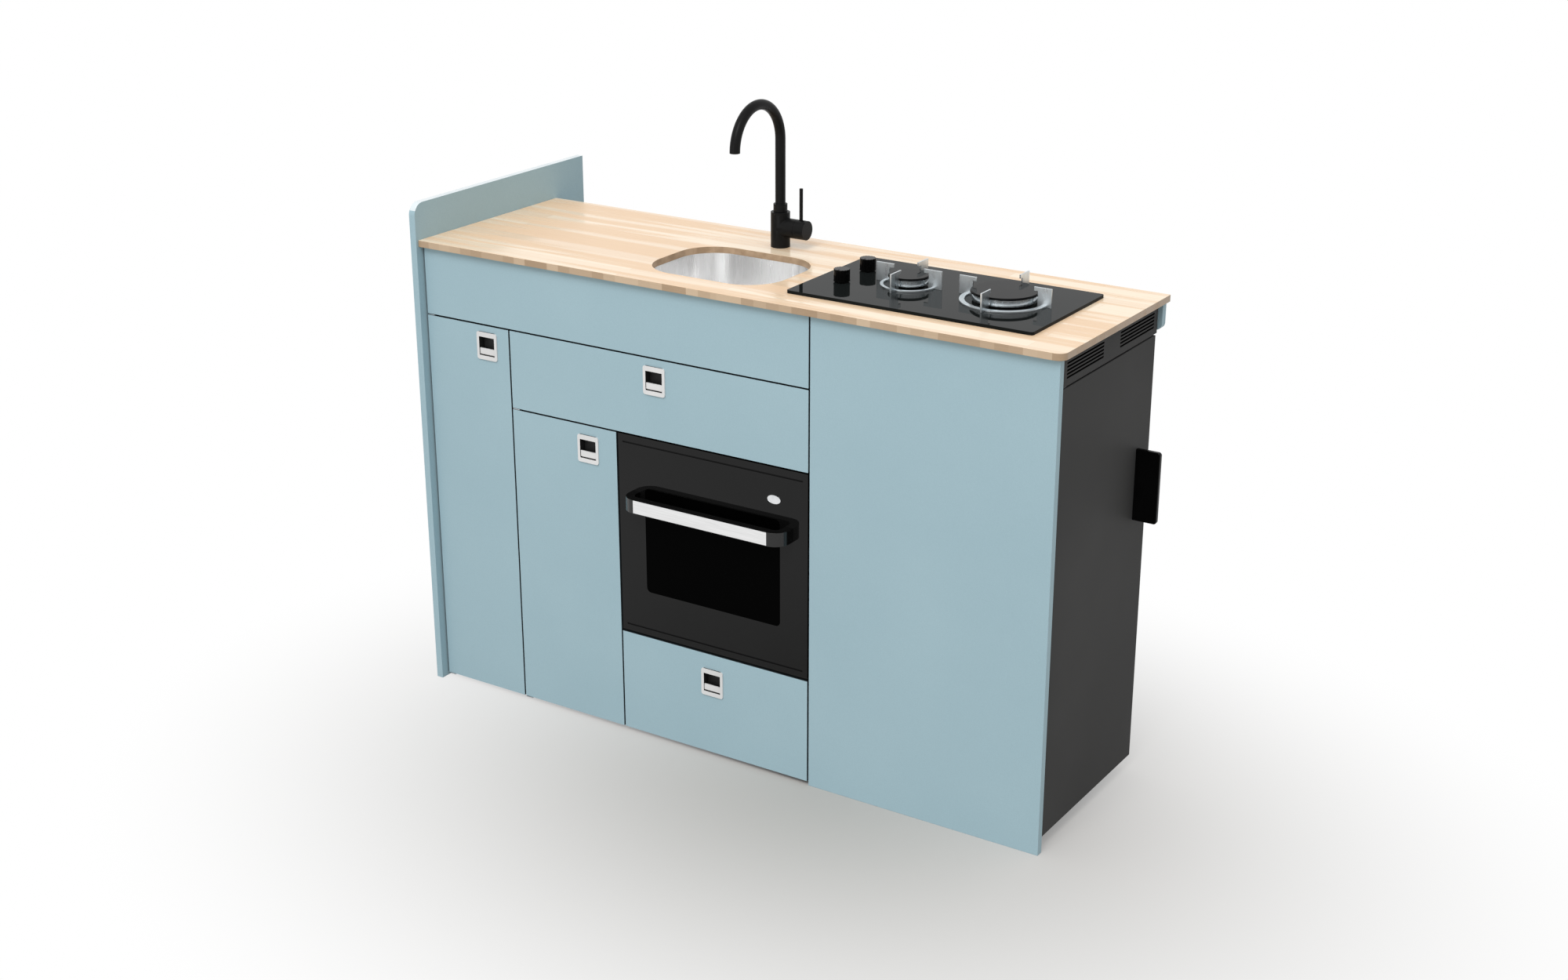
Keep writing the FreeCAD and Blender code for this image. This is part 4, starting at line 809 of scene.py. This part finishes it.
small_crown = burner_crown(centre=(0.27515, -0.0312), radius=0.0353)
crowns = burner_crown(centre=(0.47065, -0.0315), radius=0.0588)
small_crown.select_set(True)
bpy.context.view_layer.objects.active = crowns
crowns.select_set(True)
bpy.ops.object.join()
crown_slot = slot_of["burner_crowns"]
set_down(crowns, "burner_crowns_slotted", cast_aluminium, "carcass", crown_slot, "burner_crowns")
# The foot is painted black as shade.
paint_faces(crowns, black_abs, lambda c, n: c.z < FOOT_TOP + 0.0001)

# %% [markdown]
# ## Oven
# The door is one sheet of steel with a black glaze that mirrors the handle, two thin grooves whose insides
# are painted black as shade, and a black window. Its bow handle is gloss black with a bright strip along the
# front, and a bare oval plate sits at the upper right. The plate is a flattened disc: a cylinder whose front
# face is inset and pushed in, which leaves a raised rim.

# %% Oven
door = dress("oven_door", oven_enamel, 0.0006)
door_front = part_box("oven_door")[0].y
# The faces inside the grooves are painted black as shade.
paint_faces(door, black_abs, lambda c, n: door_front + 0.0004 < c.y < door_front + 0.0016)
dress("oven_window", oven_glass, 0.0003)
dress("oven_handle", gloss_black, 0.0014, 3)
dress("oven_handle_strip", polished_aluminium, 0.0007)
keep("oven_casing", grey_enamel)
keep("oven_rack", chrome)

# %% Oval plate
PLATE_PLACE = Vector((0.11675, door_front - 0.0008, 0.572))
PLATE_RADIUS = 0.0145
PLATE_DEPTH = 0.0018
PLATE_FLATNESS = 17 / 29
PLATE_RIM = 0.0011
bpy.ops.object.select_all(action="DESELECT")
bpy.ops.mesh.primitive_cylinder_add(
    vertices=64, radius=PLATE_RADIUS, depth=PLATE_DEPTH, location=PLATE_PLACE,
    rotation=(math.radians(90), 0, 0),
)
plate = bpy.context.active_object
plate.scale.y = PLATE_FLATNESS
bpy.ops.object.transform_apply(location=True, rotation=True, scale=True)
select_faces(plate, lambda c, n: n.y < -0.9)
bpy.ops.mesh.inset(thickness=PLATE_RIM, depth=-0.0004)
bpy.ops.object.mode_set(mode="OBJECT")
round_over(plate, 0.0002)
set_down(plate, "oven_oval_plate", chrome, "oven_door", slot_of["oven_handle_strip"])

# %% [markdown]
# ## Oven door liner
# Inside the door, a screwed enamel liner frames the window. A plane is inset, its middle is
# deleted and the rest gets a thickness. The screws are the same as in the boards.

# %% Oven door liner
LINER_BAND = 0.038
LINER_THICKNESS = 0.0026
LINER_MIDDLE_X, LINER_MIDDLE_Z = -0.0255, 0.425
LINER_WIDTH, LINER_HEIGHT = 0.365, 0.272
LINER_SCREWS = [(x, z) for x in (-0.189, 0.138) for z in (0.308, 0.542)]
door_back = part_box("oven_door")[1].y
bpy.ops.object.select_all(action="DESELECT")
bpy.ops.mesh.primitive_plane_add(
    size=1, location=(LINER_MIDDLE_X, door_back, LINER_MIDDLE_Z), rotation=FACING_BACK
)
liner = bpy.context.active_object
liner.scale = (LINER_WIDTH, LINER_HEIGHT, 1)
bpy.ops.object.transform_apply(location=True, rotation=True, scale=True)
select_faces(liner, lambda c, n: True)
bpy.ops.mesh.inset(thickness=LINER_BAND)
bpy.ops.mesh.delete(type="FACE")
bpy.ops.object.mode_set(mode="OBJECT")
wall = liner.modifiers.new("sheet", "SOLIDIFY")
wall.thickness = LINER_THICKNESS
wall.offset = 1
pick(liner)
bpy.ops.object.modifier_apply(modifier=wall.name)
round_over(liner, 0.0009)
set_down(liner, "oven_door_liner", grey_enamel, "oven_door", slot_of["oven_casing"])
places = [(x, door_back + LINER_THICKNESS, z) for x, z in LINER_SCREWS]
screw_heads("oven_liner_screws", places, FACING_BACK, "oven_door", STEEL_SLOT)

# %% [markdown]
# ## Fridge
# The fridge opens on the right end. Its door and vent are charcoal sheet, the pull is a black fin, and glass
# shelves stand inside. The faces between the louvres of the vent are painted nearly black as shade.

# %% Fridge
LOUVRE_MARGIN = 0.002
dress("fridge_door", charcoal_sheet, 0.0015, 3)
grille = dress("fridge_vent_grille", charcoal_sheet, 0.0005)
vent_low, vent_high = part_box("fridge_vent_grille")


def is_louvre_throat(c, n):
    """Whether a face of the vent doesn't face out and is inside its frame."""
    inside_y = vent_low.y + LOUVRE_MARGIN < c.y < vent_high.y - LOUVRE_MARGIN
    inside_z = vent_low.z + LOUVRE_MARGIN < c.z < vent_high.z - LOUVRE_MARGIN
    return n.x < 0.5 and inside_y and inside_z


# The faces inside the louvres are painted nearly black as shade.
paint_faces(grille, louvre_shade_paint, is_louvre_throat)
dress("fridge_handle", black_abs, 0.0015, 3)
keep("fridge_door_seal", soft_rubber)
keep("fridge_shelves", clear_glass)
keep("fridge_cooling_unit", rolled_aluminium)

# %% [markdown]
# ## Fridge cabinet
# The cabinet is a white moulded liner in a charcoal steel shell. It is kept as one solid, so
# its finish picks the tone by place: a point within half a millimetre of an outer side, of
# the top or bottom, or of the inner end belongs to the shell.

# %% Fridge cabinet
SHELL_SKIN = 0.0005
shell_low, shell_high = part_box("fridge_cabinet")
half = (shell_high - shell_low) / 2 - Vector((SHELL_SKIN, SHELL_SKIN, SHELL_SKIN))
cabinet_shell, tree, point = new_finish("white moulded liner in a charcoal steel shell")
place = add(tree, "VectorMath", {0: point, 1: (shell_low + shell_high) / 2}, operation="SUBTRACT")
signed = add(tree, "SeparateXYZ", {0: place[0]})
across = add(tree, "SeparateXYZ", {0: add(tree, "VectorMath", {0: place[0]}, operation="ABSOLUTE")[0]})
side = add(tree, "Math", {0: across["Y"], 1: half.y}, operation="GREATER_THAN")
cap = add(tree, "Math", {0: across["Z"], 1: half.z}, operation="GREATER_THAN")
inner_end = add(tree, "Math", {0: signed["X"], 1: -half.x}, operation="LESS_THAN")
shell = add(tree, "Math", {0: side[0], 1: cap[0]}, operation="MAXIMUM")
shell = add(tree, "Math", {0: shell[0], 1: inner_end[0]}, operation="MAXIMUM")
tone = blend(tree, shell[0], "ECECE9", "404040")
peel = add(tree, "TexNoise", {"Vector": point, "Scale": per(2.5), "Detail": 2.0})
rough = add(tree, "MapRange", {"Value": peel["Fac"], "To Min": 0.3, "To Max": 0.5})
relief = add(tree, "Bump", {"Height": peel["Fac"], "Strength": 0.3, "Distance": 0.0001})
cover(tree, {"Base Color": tone, "Roughness": rough[0], "IOR": 1.5, "Normal": relief[0]})
keep("fridge_cabinet", cabinet_shell)

# %% [markdown]
# ## Fridge door liner and trays
# The door's white liner and its three bottle trays start as blocks. The liner's inner face
# is inset and sunk inside its rim. Each tray's top is inset and pushed down nearly to its
# bottom. They all ride on the door.

# %% Fridge door liner and trays
def block(low, high):
    """A block between two corners, to be shaped further."""
    bpy.ops.object.select_all(action="DESELECT")
    low, high = Vector(low), Vector(high)
    bpy.ops.mesh.primitive_cube_add(size=1, location=(low + high) / 2)
    piece = bpy.context.active_object
    piece.scale = high - low
    bpy.ops.object.transform_apply(location=True, scale=True)
    return piece


def sink_faces(piece, test, rim, taper, depth):
    """Push some faces of a block in, inside a rim, with walls that taper a little."""
    select_faces(piece, test)
    bpy.ops.mesh.inset(thickness=rim, depth=0)
    bpy.ops.mesh.inset(thickness=taper, depth=-depth)
    bpy.ops.object.mode_set(mode="OBJECT")


LINER_SLOT = slot_of["fridge_cabinet"]
TRAY_FEET = (0.13, 0.39, 0.62)
TRAY_HEIGHT = 0.048
inner_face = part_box("fridge_door")[0].x
liner = block((inner_face - 0.0118, -0.18, 0.075), (inner_face, 0.12, 0.835))
sink_faces(liner, lambda c, n: n.x < -0.9, rim=0.016, taper=0.004, depth=0.005)
round_over(liner, 0.002)
set_down(liner, "fridge_door_liner", white_liner, "fridge_door", LINER_SLOT)
for number, foot in enumerate(TRAY_FEET, start=1):
    tray = block((inner_face - 0.0273, -0.164, foot), (inner_face - 0.0068, 0.104, foot + TRAY_HEIGHT))
    sink_faces(tray, lambda c, n: n.z > 0.9, rim=0.002, taper=0.0004, depth=0.042)
    round_over(tray, 0.0008)
    set_down(tray, "fridge_door_tray_%d" % number, white_liner, "fridge_door", LINER_SLOT)

# %% [markdown]
# ## Shelf edges
# A white trim clips over the front edge of each glass shelf. It is a block with a groove
# pushed into the side that takes the glass.

# %% Shelf edges
HALF_GLASS = 0.003
HALF_TRIM = 0.0055
shelf_low, shelf_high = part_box("fridge_shelves")
for number, middle in enumerate((shelf_low.z + HALF_GLASS, shelf_high.z - HALF_GLASS), start=1):
    trim = block(
        (shelf_high.x - 0.01, shelf_low.y + 0.001, middle - HALF_TRIM),
        (shelf_high.x + 0.002, shelf_high.y - 0.001, middle + HALF_TRIM),
    )
    sink_faces(trim, lambda c, n: n.x < -0.9, rim=0.0022, taper=0.0001, depth=0.008)
    round_over(trim, 0.0008)
    set_down(trim, "fridge_shelf_edge_%d" % number, white_liner, "carcass", LINER_SLOT)

# %% [markdown]
# ## Fridge back plate
# The back of the fridge gets a ribbed sheet that gives off its heat. A plane is cut into
# strips, every second strip is raised to a rib, and the sheet gets a thickness.

# %% Fridge back plate
RIBS = 24
STRIPS = 2 * RIBS + 1
RIB_SLOPE = 0.002
RIB_HEIGHT = 0.0035
SHEET = 0.001
SHEET_WIDTH = 0.33
SHEET_HEIGHT = 0.72
SHEET_FOOT = 0.11
SHEET_MIDDLE = (0.42, shell_high.y + 0.0012, 0.47)
bpy.ops.object.select_all(action="DESELECT")
bpy.ops.mesh.primitive_grid_add(
    x_subdivisions=1, y_subdivisions=STRIPS, size=1, location=SHEET_MIDDLE, rotation=FACING_BACK
)
plate = bpy.context.active_object
plate.scale = (SHEET_WIDTH, SHEET_HEIGHT, 1)
bpy.ops.object.transform_apply(location=True, rotation=True, scale=True)
strip = SHEET_HEIGHT / STRIPS
select_faces(plate, lambda c, n: math.floor((c.z - SHEET_FOOT) / strip) % 2 == 1)
bpy.ops.mesh.inset(thickness=RIB_SLOPE, depth=RIB_HEIGHT, use_individual=True)
bpy.ops.object.mode_set(mode="OBJECT")
wall = plate.modifiers.new("sheet", "SOLIDIFY")
wall.thickness = SHEET
wall.offset = -1
pick(plate)
bpy.ops.object.modifier_apply(modifier=wall.name)
set_down(plate, "fridge_back_plate", charcoal_sheet, "carcass", slot_of["fridge_vent_grille"])
